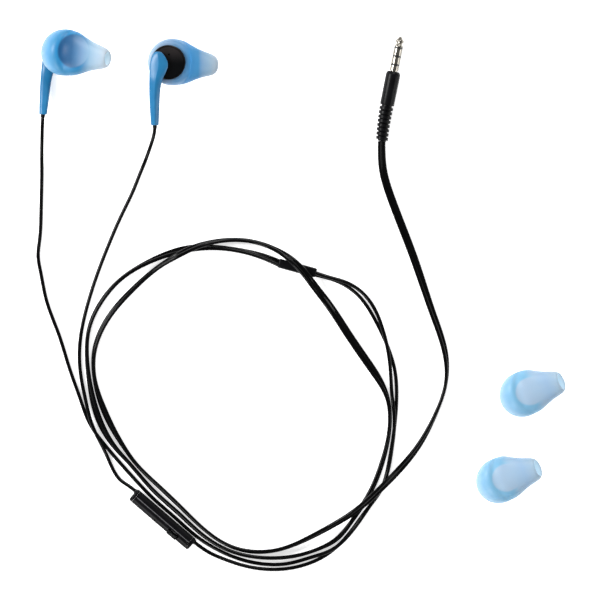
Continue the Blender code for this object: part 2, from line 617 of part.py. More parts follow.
def make_plug():
    """The four-pole plug. Its frame: +z along the plug, z = 0 at the grip's front face."""
    frame = make_empty("plug_frame", (*PLUG_AT, GRIP_RADIUS), 0.0)
    frame.rotation_euler = (math.radians(-90), 0.0, PLUG_TURN)
    n = PLUG_SEGMENTS
    radius = PLUG_RADIUS
    tip = (
        (0.0, 14.2), (0.35, 14.15), (0.75, 13.6), (1.6, 12.55), (1.64, 12.1), (1.2, 11.4),
        (1.3, 10.8), (1.65, 10.0), (0.4, 10.0), (0.4, 1.3), (0.0, 1.3),
    )
    turned("plug_tip", tip, n, frame, "contact_metal")
    ring("plug_ring_first", 1.35, radius, 6.5, 9.2, n, frame, "contact_metal")
    ring("plug_ring_second", 1.35, radius, 3.05, 5.75, n, frame, "contact_metal")
    sleeve = (
        (0.0, 0.7), (1.35, 0.7), (1.35, 2.3), (radius, 2.3), (radius, 0.3), (1.3, 0.3),
        (1.3, -3.6), (0.0, -3.6),
    )
    turned("plug_sleeve_contact", sleeve, n, frame, "contact_metal")
    collars = (
        (0.7, 9.75), (1.7, 9.75), (1.7, 9.45), (1.05, 9.45), (1.05, 6.25), (1.7, 6.25),
        (1.7, 6.0), (1.05, 6.0), (1.05, 2.8), (1.7, 2.8), (1.7, 2.55), (1.05, 2.55),
        (1.05, 1.0), (0.7, 1.0),
    )
    turned("plug_insulator", collars, n, frame, "insulator_black", closed=True)
    grip = (
        (0.0, -3.9), (1.6, -3.9), (1.6, 0.0), (2.5, 0.0), (GRIP_RADIUS, -0.5),
        (2.8, -GRIP_LENGTH), (0.0, -GRIP_LENGTH),
    )
    turned("plug_grip", grip, n, frame, "black_satin")
    make_strain_relief(frame)


def make_strain_relief(frame):
    """The ribbed, slightly bent and tapered sleeve behind the grip, as a curve of many radii."""
    data = bpy.data.curves.new("strain_relief", "CURVE")
    data.dimensions = "3D"
    data.bevel_depth = 1.0 * MM
    data.bevel_resolution = 3
    data.use_fill_caps = True
    pitch = RELIEF_LENGTH / RELIEF_RIBS
    stations = [(0.0, 2.35)]
    for k in range(RELIEF_RIBS):
        crest = 2.75 - 0.32 * k / (RELIEF_RIBS - 1)
        start = k * pitch
        stations += [(start + 0.35 * pitch, crest - 0.55), (start + 0.45 * pitch, crest),
                     (start + 0.9 * pitch, crest), (start + 1.0 * pitch, crest - 0.55)]
    spline = data.splines.new("POLY")
    spline.points.add(len(stations) - 1)
    for i, (s, radius) in enumerate(stations):
        bend = 0.8 * (s / RELIEF_LENGTH) ** 2
        z = -GRIP_LENGTH - GAP - s
        spline.points[i].co = (bend * MM, 0.0, z * MM, 1.0)
        spline.points[i].radius = radius
    link(bpy.data.objects.new("strain_relief", data), frame, "black_satin")


def build():
    make_earbud("left", LEFT_BUD_AT, LEFT_BUD_TURN, 1)
    make_earbud("right", RIGHT_BUD_AT, 0.0, -1)
    make_spare_cushion("spare_cushion_upper", SPARE_UPPER_AT, SPARE_UPPER_TURN)
    make_spare_cushion("spare_cushion_lower", SPARE_LOWER_AT, SPARE_LOWER_TURN)
    make_pod()
    make_splitter()
    make_plug()
    make_lead("left_lead", LEFT_LEAD_ROUTE, 78)
    make_lead("right_lead_upper", RIGHT_LEAD_UPPER_ROUTE, 36)
    make_lead("right_lead_lower", RIGHT_LEAD_LOWER_ROUTE, 40)
    make_main_cord("main_cord", MAIN_CORD_ROUTE, 84)


clear_scene()
PARTS = make_collection("wired_earphones")
CUTTERS = make_collection("cutters")
MATERIALS = make_materials()
build()
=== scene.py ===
"""Wired in-ear earphones: the visual model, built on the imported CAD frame.

Lengths are written in millimetres and scaled by MM where geometry is made. x and y lie on the
table and z is up. An earbud has its own u, v, w: u points along the nozzle, v away from the stem,
and w from the disc into the cushion.
"""
import math

import bmesh
import bpy
import numpy as np
from mathutils import Matrix, Vector


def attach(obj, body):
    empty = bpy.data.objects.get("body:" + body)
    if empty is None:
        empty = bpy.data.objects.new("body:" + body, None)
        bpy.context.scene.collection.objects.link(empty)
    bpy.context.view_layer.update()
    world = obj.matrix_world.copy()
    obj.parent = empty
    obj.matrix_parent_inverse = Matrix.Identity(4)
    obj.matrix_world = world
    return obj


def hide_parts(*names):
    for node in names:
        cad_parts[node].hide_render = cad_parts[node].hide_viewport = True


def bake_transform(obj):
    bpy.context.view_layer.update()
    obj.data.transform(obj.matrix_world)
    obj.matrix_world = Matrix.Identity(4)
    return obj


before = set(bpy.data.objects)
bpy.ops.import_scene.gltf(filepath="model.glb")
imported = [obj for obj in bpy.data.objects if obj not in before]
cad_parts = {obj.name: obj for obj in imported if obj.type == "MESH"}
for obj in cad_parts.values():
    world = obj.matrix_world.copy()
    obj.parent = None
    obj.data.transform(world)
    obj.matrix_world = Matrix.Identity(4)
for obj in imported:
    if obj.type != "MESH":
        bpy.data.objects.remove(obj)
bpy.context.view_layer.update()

MM = 0.001
ROOT = "cords_and_left_earbud"
GAP = 0.3                    # between touching CAD pieces
SHARP_ANGLE = 35.0           # degrees, between faces that meet in a visible edge
FLOOR_REACH = 1500.0
FLOOR_DROP = 0.1
VIEW_WIDTH = 240.0
VIEW_HEIGHT = 6000.0
VIEW_CENTRE = (-0.66, -13.8)
SENSOR_WIDTH = 36.0
EXPOSURE = 1.45              # how much the lights brighten a base colour

LEAD_RADIUS = 0.75
LEAD_POINTS = 20
TWIN_SPACING = 1.86
WEB_HALF_HEIGHT = 0.3
CORD_STEP = 1.6              # between a cord mesh's sections

STEM_BACK = -3.2
STEM_END = -25.2
STEM_EXIT = (-5.35, -1.65)   # u and w of the cord's exit, before the lean
STEM_LEAN = 0.24
STEM_LEAN_FROM = -7.5
STEM_POINTS = 24
CUSHION_FRONT = 11.5
CUSHION_POINTS = 28
MOUTH_START = 1.6
MOUTH_RADIUS = 6.3
NOZZLE_ROOT = 8.0
NOZZLE_SPAN = (-9.0, 19.0)
RIM_REACH = 2.5              # in window radii
# The bore's painted glow: emission that stands in for light coming through the thin gel at the nozzle.
BORE_START = 4.6
BORE_REACH = 7.0             # over which the bore's painted glow grows to full
BORE_LIGHT = (0.34, 0.44, 0.48)
SPARE_SCALE = 0.95
SPARE_SWELL = 0.7
SPARE_RISE = 0.5
DISC_RADIUS = 6.1
DISC_DOME = 0.3
DISC_RINGS = 12
HOLE_RADIUS = 0.42           # the disc's vent and the pod's port
VENT_AT = (0.3, 3.1)
VENT_FLOOR = 0.7
OUTLET_AT = (2.3, 0.0, 7.58)
OUTLET_TILT = 35.0
OUTLET_POINTS = 32
GRILLE_HOLE = 0.2

LEFT_BUD = ((-96.0, 85.0, -STEM_BACK), math.radians(-4.6), 1)
RIGHT_BUD = ((-53.3, 81.1, CUSHION_FRONT), 0.0, -1)
SPARE_UPPER = ((87.0, -52.3), math.radians(21))
SPARE_LOWER = ((77.6, -86.8), math.radians(20.5))

POD_AT = (-55.6, -101.56)
POD_TURN = math.radians(-40.8)
POD_LENGTH = 28.0
POD_DEPTH = 5.6
POD_HEIGHT = 5.0
POD_ROUNDING = 1.9
POD_WALL = 0.8
POD_SEAM = 0.06              # from the middle plane to each half
POD_CAP_LENGTH = 1.2
POD_NECK_Y = 1.45
BUTTON_X = 6.8
BUTTON_SIZE = (4.6, 1.7, 3.6)
BUTTON_PROUD = 0.15
BUTTON_ROUNDING = 1.5
BUTTON_TRAVEL = 0.3
BUTTON_RIBS = 6
RIB_SPACING = 0.7
RIB_WIDTH = 0.3
RIB_HEIGHT = 0.12
WINDOW_CLEARANCE = 0.25
WINDOW_CUT = 4.0
MIC_X = -2.4

SPLIT_AT = (-1.75, -1.0)
SPLIT_TURN = math.radians(-15.1)
SPLIT_SIZE = (15.6, 3.7)
SPLIT_HEIGHT = 4.0
SPLIT_SEAM = 0.05            # from the middle height to each half
PLUG_AT = (36.8, 77.6, 2.9)
PLUG_TURN = math.radians(-11.4)
PLUG_RADIUS = 1.75
RING_EDGE = 0.04
GRIP_LENGTH = 13.8
RELIEF_LENGTH = 13.7
RELIEF_RIBS = 8
RELIEF_RADIUS = 2.78
RELIEF_TAPER = 0.34
RELIEF_BEND = 0.8
RELIEF_POINTS = 48

# Free cord routes, end to end: x, y on the table and the lift of the cord's underside (mm).
# The twin cord's points also hold its roll in degrees: 0 lies flat, 90 stands on edge.
LEFT_LEAD_ROUTE = (
    (-103.45, 59.1, 5.3), (-103.6, 56.1, 5.4), (-103.75, 51.1, 4.4), (-103.9, 44.3, 2.0),
    (-103.9, 37.5, 0.3), (-104.0, 31.0, 0.0), (-104.2, 22.0, 0.0), (-104.8, 10.2, 0.0),
    (-105.4, 3.8, 0.0), (-104.4, -2.6, 0.0), (-102.1, -13.8, 0.0),
    (-96.9, -28.2, 0.0), (-92.9, -41.0, 0.0), (-88.4, -53.8, 0.0), (-84.6, -63.5, 0.0),
    (-79.9, -70.3, 0.0), (-74.6, -76.7, 0.0), (-66.3, -86.0, 0.0), (-58.6, -93.9, 0.0),
    (-50.8, -100.7, 0.0), (-43.0, -107.6, 0.0), (-34.3, -113.3, 0.0), (-24.7, -117.4, 0.0),
    (-15.1, -119.4, 0.0), (-5.5, -119.2, 0.0), (4.1, -116.6, 0.6), (12.0, -113.7, 1.85),
    (20.0, -106.4, 1.85), (27.3, -96.1, 1.85), (33.1, -86.4, 1.85), (36.0, -73.8, 1.9),
    (37.1, -61.8, 1.9), (36.7, -56.6, 1.5), (36.1, -51.6, 0.7), (35.7, -45.0, 0.9),
    (34.6, -34.6, 1.85), (32.5, -25.8, 1.8), (29.3, -17.6, 0.8), (25.0, -11.6, 1.0),
    (21.2, -8.5, 1.5), (16.6, -6.3, 1.8), (10.6, -4.6, 1.9), (5.6, -3.0, 2.1),
)
RIGHT_LEAD_UPPER_ROUTE = (
    (-58.65, 54.7, 7.85), (-59.0, 52.3, 7.0), (-59.75, 49.6, 5.4), (-60.7, 46.8, 3.4),
    (-61.8, 43.8, 1.5), (-62.9, 41.0, 0.4), (-64.4, 37.4, 0.0), (-67.4, 29.9, 0.0),
    (-72.2, 19.8, 0.0), (-76.7, 9.5, 0.0), (-82.7, -6.2, 0.0), (-86.0, -17.0, 0.0),
    (-88.3, -27.8, 0.0), (-88.9, -36.2, 0.0), (-88.3, -44.2, 0.0), (-86.4, -53.8, 0.6),
    (-83.9, -63.4, 1.85), (-81.2, -69.4, 1.9), (-78.2, -75.4, 0.5), (-75.0, -82.4, 0.0),
    (-72.3, -86.0, 0.5), (-69.5, -87.9, 1.4), (-66.6, -90.1, 1.75),
)
RIGHT_LEAD_LOWER_ROUTE = (
    (-42.7, -110.8, 1.75), (-40.2, -112.7, 1.3), (-36.8, -114.9, 0.4), (-31.1, -117.4, 0.0),
    (-24.7, -119.6, 0.0), (-15.1, -121.4, 0.0), (-5.5, -121.2, 0.0), (0.9, -119.8, 0.0),
    (7.3, -117.2, 0.0),
    (13.7, -112.8, 0.0), (19.6, -106.4, 0.0), (25.7, -98.1, 0.0), (31.7, -89.8, 0.0),
    (34.6, -80.2, 0.0), (36.3, -70.6, 0.0), (37.5, -61.0, 0.0), (38.0, -51.4, 0.0),
    (37.3, -42.2, 0.0), (34.3, -32.2, 0.0), (29.4, -21.8, 0.0), (22.7, -12.0, 0.0),
    (15.3, -6.8, 0.0), (9.7, -4.8, 0.1), (5.5, -3.8, 0.35),
)
MAIN_CORD_ROUTE = (
    (-9.0, 0.95, 0.8, 30), (-15.9, 3.7, 0.2, 50), (-25.5, 6.1, 0.0, 72), (-35.1, 7.2, 0.0, 65),
    (-44.7, 6.8, 0.0, 40), (-53.5, 4.6, 0.0, 50), (-63.5, 0.3, 0.0, 75), (-72.8, -5.9, 0.0, 82),
    (-80.1, -14.4, 0.0, 78), (-84.8, -24.4, 0.0, 84), (-85.9, -35.4, 0.0, 82),
    (-84.7, -47.4, 0.0, 70), (-81.6, -60.1, 0.0, 45), (-78.8, -66.4, 0.0, 55),
    (-74.4, -73.0, 0.0, 75), (-68.9, -79.1, 0.0, 84), (-59.8, -89.5, 0.0, 82),
    (-49.5, -98.9, 0.0, 80), (-39.2, -108.1, 0.0, 85), (-27.9, -114.4, 0.0, 88),
    (-15.1, -116.9, 0.0, 88), (-2.3, -116.1, 0.0, 86), (7.3, -113.1, 0.0, 86),
    (13.7, -109.6, 0.0, 75), (19.5, -103.0, 0.0, 80), (24.1, -96.2, 0.0, 72),
    (28.5, -88.4, 0.0, 70), (31.7, -80.2, 0.0, 70), (34.3, -70.6, 0.0, 80),
    (35.3, -61.8, 0.0, 84), (34.1, -52.4, 0.0, 74), (28.4, -41.8, 0.0, 20),
    (19.6, -29.0, 0.0, 0), (9.7, -14.2, 0.8, 8), (6.6, -10.2, 2.3, 12), (3.8, -6.5, 3.9, 20),
    (0.1, -1.8, 4.4, 30), (-4.4, 2.5, 4.0, 45), (-10.2, 6.3, 1.7, 70), (-22.3, 10.0, 0.0, 80),
    (-33.1, 9.8, 0.6, 75), (-39.6, 8.4, 2.4, 65), (-44.7, 6.5, 3.3, 55), (-49.6, 4.0, 3.2, 58),
    (-55.3, 0.7, 1.1, 70), (-67.3, -9.3, 0.0, 68), (-78.1, -22.1, 0.0, 66),
    (-82.8, -33.8, 0.0, 76), (-82.7, -45.8, 0.0, 80), (-78.7, -58.6, 0.0, 50),
    (-75.2, -65.8, 0.0, 60), (-71.6, -71.8, 0.0, 75), (-66.7, -78.7, 0.0, 85),
    (-57.9, -87.6, 0.0, 80), (-47.9, -97.1, 0.0, 82),
    (-37.7, -106.6, 0.0, 88), (-27.9, -112.5, 0.0, 86), (-18.3, -114.5, 0.0, 82),
    (-8.7, -113.5, 0.0, 84), (4.1, -108.3, 0.2, 72), (15.3, -102.2, 2.0, 62), (21.4, -98.2, 3.7, 56),
    (26.7, -93.8, 4.0, 52), (32.0, -88.8, 3.8, 48), (38.5, -82.2, 0.9, 45), (46.7, -72.1, 0.0, 60),
    (53.7, -59.0, 0.0, 84), (57.7, -46.6, 0.0, 88), (57.5, -35.6, 0.0, 62),
    (52.6, -19.6, 0.0, 45), (45.1, 2.4, 0.0, 15), (36.1, 26.1, 0.0, 0), (32.5, 38.6, 0.3, 15),
    (32.0, 49.7, 1.7, 30),
)


# ---------------------------------------------------------------- materials
def new_material(name, colour, roughness, metallic=0.0):
    material = bpy.data.materials.new(name)
    material.use_nodes = True
    tree = material.node_tree
    shader = tree.nodes["Principled BSDF"]
    shader.inputs["Base Color"].default_value = (*colour, 1.0)
    shader.inputs["Roughness"].default_value = roughness
    shader.inputs["Metallic"].default_value = metallic
    return material, tree, shader


def noise(tree, scale, detail, stretch=(1.0, 1.0, 1.0)):
    coords = tree.nodes.new("ShaderNodeTexCoord")
    mapping = tree.nodes.new("ShaderNodeMapping")
    mapping.inputs["Scale"].default_value = stretch
    texture = tree.nodes.new("ShaderNodeTexNoise")
    texture.inputs["Scale"].default_value = scale
    texture.inputs["Detail"].default_value = detail
    tree.links.new(coords.outputs["Object"], mapping.inputs["Vector"])
    tree.links.new(mapping.outputs["Vector"], texture.inputs["Vector"])
    return texture.outputs["Fac"]


def ramp(tree, factor, stops):
    node = tree.nodes.new("ShaderNodeValToRGB")
    elements = node.color_ramp.elements
    elements[0].position, elements[0].color = stops[0][0], (*stops[0][1], 1.0)
    elements[1].position, elements[1].color = stops[-1][0], (*stops[-1][1], 1.0)
    for place, colour in stops[1:-1]:
        elements.new(place).color = (*colour, 1.0)
    tree.links.new(factor, node.inputs["Fac"])
    return node.outputs["Color"]


def map_range(tree, value, source, target=(0.0, 1.0), smooth=False):
    """Maps a value from the source range to the target range, clamped at its ends."""
    node = tree.nodes.new("ShaderNodeMapRange")
    node.interpolation_type = "SMOOTHSTEP" if smooth else "LINEAR"
    node.inputs["From Min"].default_value, node.inputs["From Max"].default_value = source
    node.inputs["To Min"].default_value, node.inputs["To Max"].default_value = target
    tree.links.new(value, node.inputs["Value"])
    return node.outputs["Result"]


def between_lengths(tree, value, low, high, target=(0.0, 1.0), smooth=True):
    """map_range of a length in metres, from low..high in millimetres."""
    return map_range(tree, value, (low * MM, high * MM), target, smooth)


def maths(tree, operation, first, second):
    node = tree.nodes.new("ShaderNodeMath")
    node.operation = operation
    node.use_clamp = True
    tree.links.new(first, node.inputs[0])
    tree.links.new(second, node.inputs[1])
    return node.outputs["Value"]


def place_in_piece(tree):
    """The place in the piece's own frame, in metres, as a vector and as its x, y and z."""
    coords = tree.nodes.new("ShaderNodeTexCoord").outputs["Object"]
    split = tree.nodes.new("ShaderNodeSeparateXYZ")
    tree.links.new(coords, split.inputs["Vector"])
    return coords, split.outputs


def mixed(tree, factor, first, second):
    """Two colours mixed. Inputs 6 and 7 and output 2 are the node's colour sockets."""
    node = tree.nodes.new("ShaderNodeMix")
    node.data_type = "RGBA"
    tree.links.new(factor, node.inputs["Factor"])
    tree.links.new(first, node.inputs[6])
    tree.links.new(second, node.inputs[7])
    return node.outputs[2]


def vary_roughness(tree, shader, factor, low, high):
    tree.links.new(map_range(tree, factor, (0.0, 1.0), (low, high)), shader.inputs["Roughness"])


def bump(tree, shader, height, strength):
    node = tree.nodes.new("ShaderNodeBump")
    node.inputs["Strength"].default_value = strength
    node.inputs["Distance"].default_value = 0.02 * MM
    tree.links.new(height, node.inputs["Height"])
    tree.links.new(node.outputs["Normal"], shader.inputs["Normal"])


def linear(red, green, blue):
    """A colour as it should look under the studio lights, as the base colour it needs."""
    return tuple(min(0.95, (c / 255.0) ** 2.2 / EXPOSURE) for c in (red, green, blue))


def plastic(name, dark, light, low, high, grain, strength, shine=0.5):
    """Moulded plastic: colour drifts slightly, roughness follows it, and the skin has a grain."""
    material, tree, shader = new_material(name, light, low)
    drift = noise(tree, 220.0, 4.0)
    tree.links.new(ramp(tree, drift, ((0.3, dark), (0.7, light))), shader.inputs["Base Color"])
    vary_roughness(tree, shader, drift, low, high)
    bump(tree, shader, noise(tree, grain, 2.0), strength)
    shader.inputs["Specular IOR Level"].default_value = shine
    return material


def along_nozzle(tree, place, stops):
    """Colours laid along the nozzle, from (u in mm, colour) stops."""
    start, end = NOZZLE_SPAN
    factor = between_lengths(tree, place["X"], start, end, smooth=False)
    return ramp(tree, factor, [((u - start) / (end - start), linear(*c)) for u, c in stops])


def window_distance(tree, coords, centre, radii):
    """The distance from the window's middle in window radii, divided by RIM_REACH."""
    oval = tree.nodes.new("ShaderNodeMapping")
    oval.inputs["Scale"].default_value = (1.0 / (radii[0] * MM), 1.0 / (radii[1] * MM), 0.0)
    oval.inputs["Location"].default_value = (-centre[0] / radii[0], -centre[1] / radii[1], 0.0)
    tree.links.new(coords, oval.inputs["Vector"])
    length = tree.nodes.new("ShaderNodeVectorMath")
    length.operation = "LENGTH"
    tree.links.new(oval.outputs["Vector"], length.inputs[0])
    return map_range(tree, length.outputs["Value"], (0.0, RIM_REACH))


def gel(name, window, rim, behind, centre, radii, root):
    """Translucent silicone: thick blue rim, thin front window, a frosted nozzle and a bore lit by a
    painted glow.

    window and behind are (place along the nozzle in mm, colour) for the front and the back of
    the cushion, rim is (distance from the window's middle in window radii, colour), and root is
    where along the nozzle the rim fades out.
    """
    material, tree, shader = new_material(name, (0.3, 0.55, 0.85), 0.3)
    coords, place = place_in_piece(tree)
    front = along_nozzle(tree, place, window)
    back = along_nozzle(tree, place, behind)
    distance = window_distance(tree, coords, centre, radii)
    ring = ramp(tree, distance, [(d / RIM_REACH, linear(*c)) for d, c in rim])
    on_ring = ramp(tree, distance, ((0.93 / RIM_REACH, (0.0, 0.0, 0.0)),
                                    (1.05 / RIM_REACH, (1.0, 1.0, 1.0))))
    past_root = between_lengths(tree, place["X"], *root)
    face = mixed(tree, maths(tree, "SUBTRACT", on_ring, past_root), front, ring)
    forward = tree.nodes.new("ShaderNodeVectorMath")
    forward.operation = "DOT_PRODUCT"
    forward.inputs[1].default_value = (-0.2, 0.0, 1.0)
    tree.links.new(coords, forward.inputs[0])
    colour = mixed(tree, between_lengths(tree, forward.outputs["Value"], 3.6, 5.2), back, face)
    tree.links.new(colour, shader.inputs["Base Color"])
    vary_roughness(tree, shader, noise(tree, 260.0, 3.0), 0.32, 0.44)
    bump(tree, shader, noise(tree, 5200.0, 2.0), 0.1)
    thin = between_lengths(tree, place["X"], NOZZLE_ROOT, 15.0, (0.06, 0.14), smooth=False)
    tree.links.new(thin, shader.inputs["Transmission Weight"])
    # Painted light: the bore's wall glows, standing in for light that comes through the thin gel.
    bore = tree.nodes.new("ShaderNodeAttribute")
    bore.attribute_name = "bore"
    shader.inputs["Emission Color"].default_value = (*BORE_LIGHT, 1.0)
    tree.links.new(bore.outputs["Fac"], shader.inputs["Emission Strength"])
    shader.inputs["IOR"].default_value = 1.41
    shader.inputs["Specular IOR Level"].default_value = 0.32
    shader.inputs["Subsurface Weight"].default_value = 0.3
    shader.inputs["Subsurface Radius"].default_value = (0.5, 0.8, 1.0)
    shader.inputs["Subsurface Scale"].default_value = 1.2 * MM
    return material


def metal(name, colour, low, high, stretch=(1.0, 1.0, 1.0)):
    """Turned or plated metal with fine tool marks."""
    material, tree, shader = new_material(name, colour, low, 1.0)
    marks = noise(tree, 900.0, 4.0, stretch)
    vary_roughness(tree, shader, marks, low, high)
    darker = tuple(0.86 * c for c in colour)
    tree.links.new(ramp(tree, marks, ((0.25, darker), (0.75, colour))), shader.inputs["Base Color"])
    bump(tree, shader, marks, 0.05)
    return material


def disc_black(name):
    """The rear disc's polished black, with a warm painted highlight towards -y and painted shade in
    the vent.
    """
    material, tree, shader = new_material(name, (0.003, 0.003, 0.003), 0.2)
    place = place_in_piece(tree)[1]
    # Painted highlight: the disc's face is painted warmer and lighter towards -y, standing in for the
    # lamps' sheen.
    across = between_lengths(tree, place["Y"], -MOUTH_RADIUS, 1.0)
    # Painted shade: the vent and the rest of the cup off the disc's face keep the darkest colour, so
    # the vent reads as a shaded hole.
    sunk_shade = between_lengths(tree, place["Z"], DISC_DOME + 0.02, DISC_DOME + 0.12)
    colour = ramp(tree, maths(tree, "MAXIMUM", across, sunk_shade),
                  ((0.0, (0.017, 0.0145, 0.0145)), (1.0, (0.0012, 0.0015, 0.0018))))
    tree.links.new(colour, shader.inputs["Base Color"])
    vary_roughness(tree, shader, noise(tree, 220.0, 4.0), 0.2, 0.28)
    shader.inputs["Specular IOR Level"].default_value = 0.12
    return material


def jacket(name):
    """The cords' smooth black jacket, with a faint grain."""
    material, tree, shader = new_material(name, (0.001, 0.001, 0.001), 0.12)
    drift = noise(tree, 120.0, 4.0)
    colour = ramp(tree, drift, ((0.3, (0.0006, 0.0006, 0.0007)), (0.7, (0.0016, 0.0016, 0.0018))))
    tree.links.new(colour, shader.inputs["Base Color"])
    vary_roughness(tree, shader, drift, 0.1, 0.18)
    bump(tree, shader, noise(tree, 3000.0, 2.0), 0.03)
    shader.inputs["Specular IOR Level"].default_value = 0.1
    return material


# Gel colours as they should look: (place along the nozzle in mm, or distance in radii, colour).
HOUSING_WINDOW = ((-2.0, (36, 92, 142)), (1.0, (38, 90, 138)), (4.0, (58, 106, 152)),
                  (6.0, (92, 136, 180)), (8.5, (132, 170, 209)), (11.0, (155, 193, 222)),
                  (14.0, (186, 212, 233)), (18.0, (206, 220, 232)))
RIM = ((0.9, (54, 114, 160)), (1.08, (50, 142, 200)), (1.35, (76, 150, 198)),
       (1.75, (106, 170, 216)), (2.2, (146, 184, 212)))
BACK = ((-8.0, (176, 202, 226)), (0.0, (138, 170, 206)), (3.0, (108, 157, 200)),
        (6.0, (104, 160, 210)), (9.0, (74, 154, 216)), (12.0, (76, 149, 202)),
        (13.6, (132, 170, 206)), (16.0, (152, 184, 210)), (18.5, (176, 194, 210)))
SPARE_WINDOW = ((-2.0, (174, 205, 231)), (4.0, (178, 205, 231)), (8.0, (176, 206, 233)),
                (12.0, (168, 201, 233)), (18.0, (186, 211, 228)))
SPARE_RIM = ((0.9, (172, 204, 231)), (1.1, (136, 196, 232)), (1.6, (146, 201, 238)),
             (2.2, (168, 208, 238)))
SPARE_BACK = ((-8.0, (158, 204, 236)), (4.0, (140, 190, 226)), (18.0, (170, 200, 224)))


def make_materials():
    """Each look's maker and the values that follow the name in its call."""
    looks = {
        "gel_left": (gel, HOUSING_WINDOW, RIM, BACK, (4.7, 1.0), (6.0, 6.6), (7.0, 12.0)),
        "gel_right": (gel, HOUSING_WINDOW, RIM, BACK, (4.7, -1.0), (6.0, 6.6), (7.0, 12.0)),
        "gel_spare": (gel, SPARE_WINDOW, SPARE_RIM, SPARE_BACK, (4.7, 0.4), (5.7, 5.4), (4.5, 9.0)),
        "stem_blue": (plastic, (0.008, 0.12, 0.27), (0.012, 0.14, 0.30), 0.3, 0.38, 2600.0, 0.1,
                      0.36),
        "black_gloss": (plastic, (0.0012, 0.0015, 0.0018), (0.002, 0.0024, 0.003), 0.2, 0.28,
                        1500.0, 0.03, 0.12),
        "black_satin": (plastic, (0.0012, 0.0012, 0.0016), (0.003, 0.003, 0.004), 0.3, 0.42,
                        3800.0, 0.18, 0.1),
        # A painted highlight: the seam bead's grey stands in for the lamps' glint along the pod's
        # seam.
        "seam_highlight_grey": (plastic, (0.05, 0.05, 0.055), (0.08, 0.08, 0.085), 0.3, 0.4, 2400.0, 0.1),
        "disc_black": (disc_black,),
        "cord_black": (jacket,),
        "contact_metal": (metal, (0.28, 0.262, 0.228), 0.18, 0.26),
        "insulator_black": (plastic, (0.008, 0.008, 0.008), (0.014, 0.014, 0.014), 0.35, 0.45,
                            3000.0, 0.1),
        "steel": (metal, (0.56, 0.57, 0.60), 0.28, 0.4, (1.0, 6.0, 1.0)),
        "magnet_grey": (metal, (0.30, 0.30, 0.32), 0.3, 0.45, (1.0, 1.0, 4.0)),
        "copper": (metal, (0.78, 0.36, 0.18), 0.3, 0.45, (1.0, 1.0, 30.0)),
        "film": (plastic, (0.70, 0.66, 0.50), (0.80, 0.76, 0.62), 0.2, 0.35, 900.0, 0.1),
        "felt": (plastic, (0.38, 0.38, 0.36), (0.58, 0.58, 0.55), 0.85, 0.95, 4200.0, 0.9),
        "board_green": (plastic, (0.02, 0.16, 0.07), (0.035, 0.25, 0.11), 0.35, 0.5, 1800.0, 0.2),
    }
    return {name: maker(name, *values) for name, (maker, *values) in looks.items()}


# ---------------------------------------------------------------- shape tools
def put(name, mesh, body, material, place=None):
    """Makes a piece of a mesh, places it, gives it its material, and rides it on its CAD body."""
    obj = bpy.data.objects.new(name, mesh)
    bpy.context.scene.collection.objects.link(obj)
    if place is not None:
        obj.matrix_world = place
    obj.data.materials.clear()
    obj.data.materials.append(MATERIALS[material])
    if body is not None:
        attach(obj, body)
    return obj


def mesh_of(name, vertices, faces, sharp=SHARP_ANGLE):
    mesh = bpy.data.meshes.new(name)
    mesh.from_pydata([tuple(c * MM for c in v) for v in vertices], [], faces)
    mesh.validate()
    mesh.shade_smooth()
    mesh.set_sharp_from_angle(angle=math.radians(sharp))
    return mesh


def circle(radius, count):
    angles = [2.0 * math.pi * k / count for k in range(count)]
    return [(radius * math.cos(angle), radius * math.sin(angle)) for angle in angles]


def turned_mesh(name, profile, segments, closed=False):
    """A lathe shape: profile points are (radius, height), down the outer side."""
    rows = []
    vertices = []
    for radius, height in profile:
        ring = [(0.0, 0.0)] if radius < 1e-6 else circle(radius, segments)
        rows.append(range(len(vertices), len(vertices) + len(ring)))
        vertices += [(x, y, height) for x, y in ring]
    faces = []
    pairs = list(zip(rows, rows[1:]))
    if closed:
        pairs.append((rows[-1], rows[0]))
    for upper, lower in pairs:
        for k in range(segments):
            n = (k + 1) % segments
            if len(upper) == 1:
                faces.append((upper[0], lower[k], lower[n]))
            elif len(lower) == 1:
                faces.append((upper[n], upper[k], lower[0]))
            else:
                faces.append((upper[n], upper[k], lower[k], lower[n]))
    return mesh_of(name, vertices, faces)


def turned(name, profile, body, material, place, segments, closed=False):
    mesh = turned_mesh(name, profile, segments, closed)
    return put(name, mesh, body, material, place=place)


def skin_faces(rows, count, tube):
    """Faces over rows of count points each: a ring that closes on itself, or a capped skin."""
    faces = []
    for i in range(rows if tube else rows - 1):
        low = i * count
        high = (i + 1) % rows * count
        for k in range(count):
            n = (k + 1) % count
            faces.append((low + k, low + n, high + n, high + k))
    if not tube:
        faces.append(tuple(reversed(range(count))))
        faces.append(tuple(range((rows - 1) * count, rows * count)))
    return faces


def loft_mesh(name, sections, count, hand, tube=False):
    """A skin over sections, each a function of the angle that gives (u, v, w)."""
    vertices = []
    for section in sections:
        for k in range(count):
            u, v, w = section(2.0 * math.pi * k / count)
            vertices.append((u, hand * v, w))
    faces = skin_faces(len(sections), count, tube)
    if hand < 0:
        faces = [tuple(reversed(face)) for face in faces]
    return mesh_of(name, vertices, faces, 180.0)


def subdivide(obj, levels):
    modifier = obj.modifiers.new("subdivision", "SUBSURF")
    modifier.levels = levels
    modifier.render_levels = levels


def new_box(size):
    bm = bmesh.new()
    bmesh.ops.create_cube(bm, size=1.0)
    bmesh.ops.scale(bm, vec=Vector(size) * MM, verts=bm.verts)
    return bm


def round_edges(bm, edges, radius, segments):
    bmesh.ops.bevel(bm, geom=edges, offset=radius * MM, segments=segments, profile=0.5,
                    affect="EDGES", clamp_overlap=True)


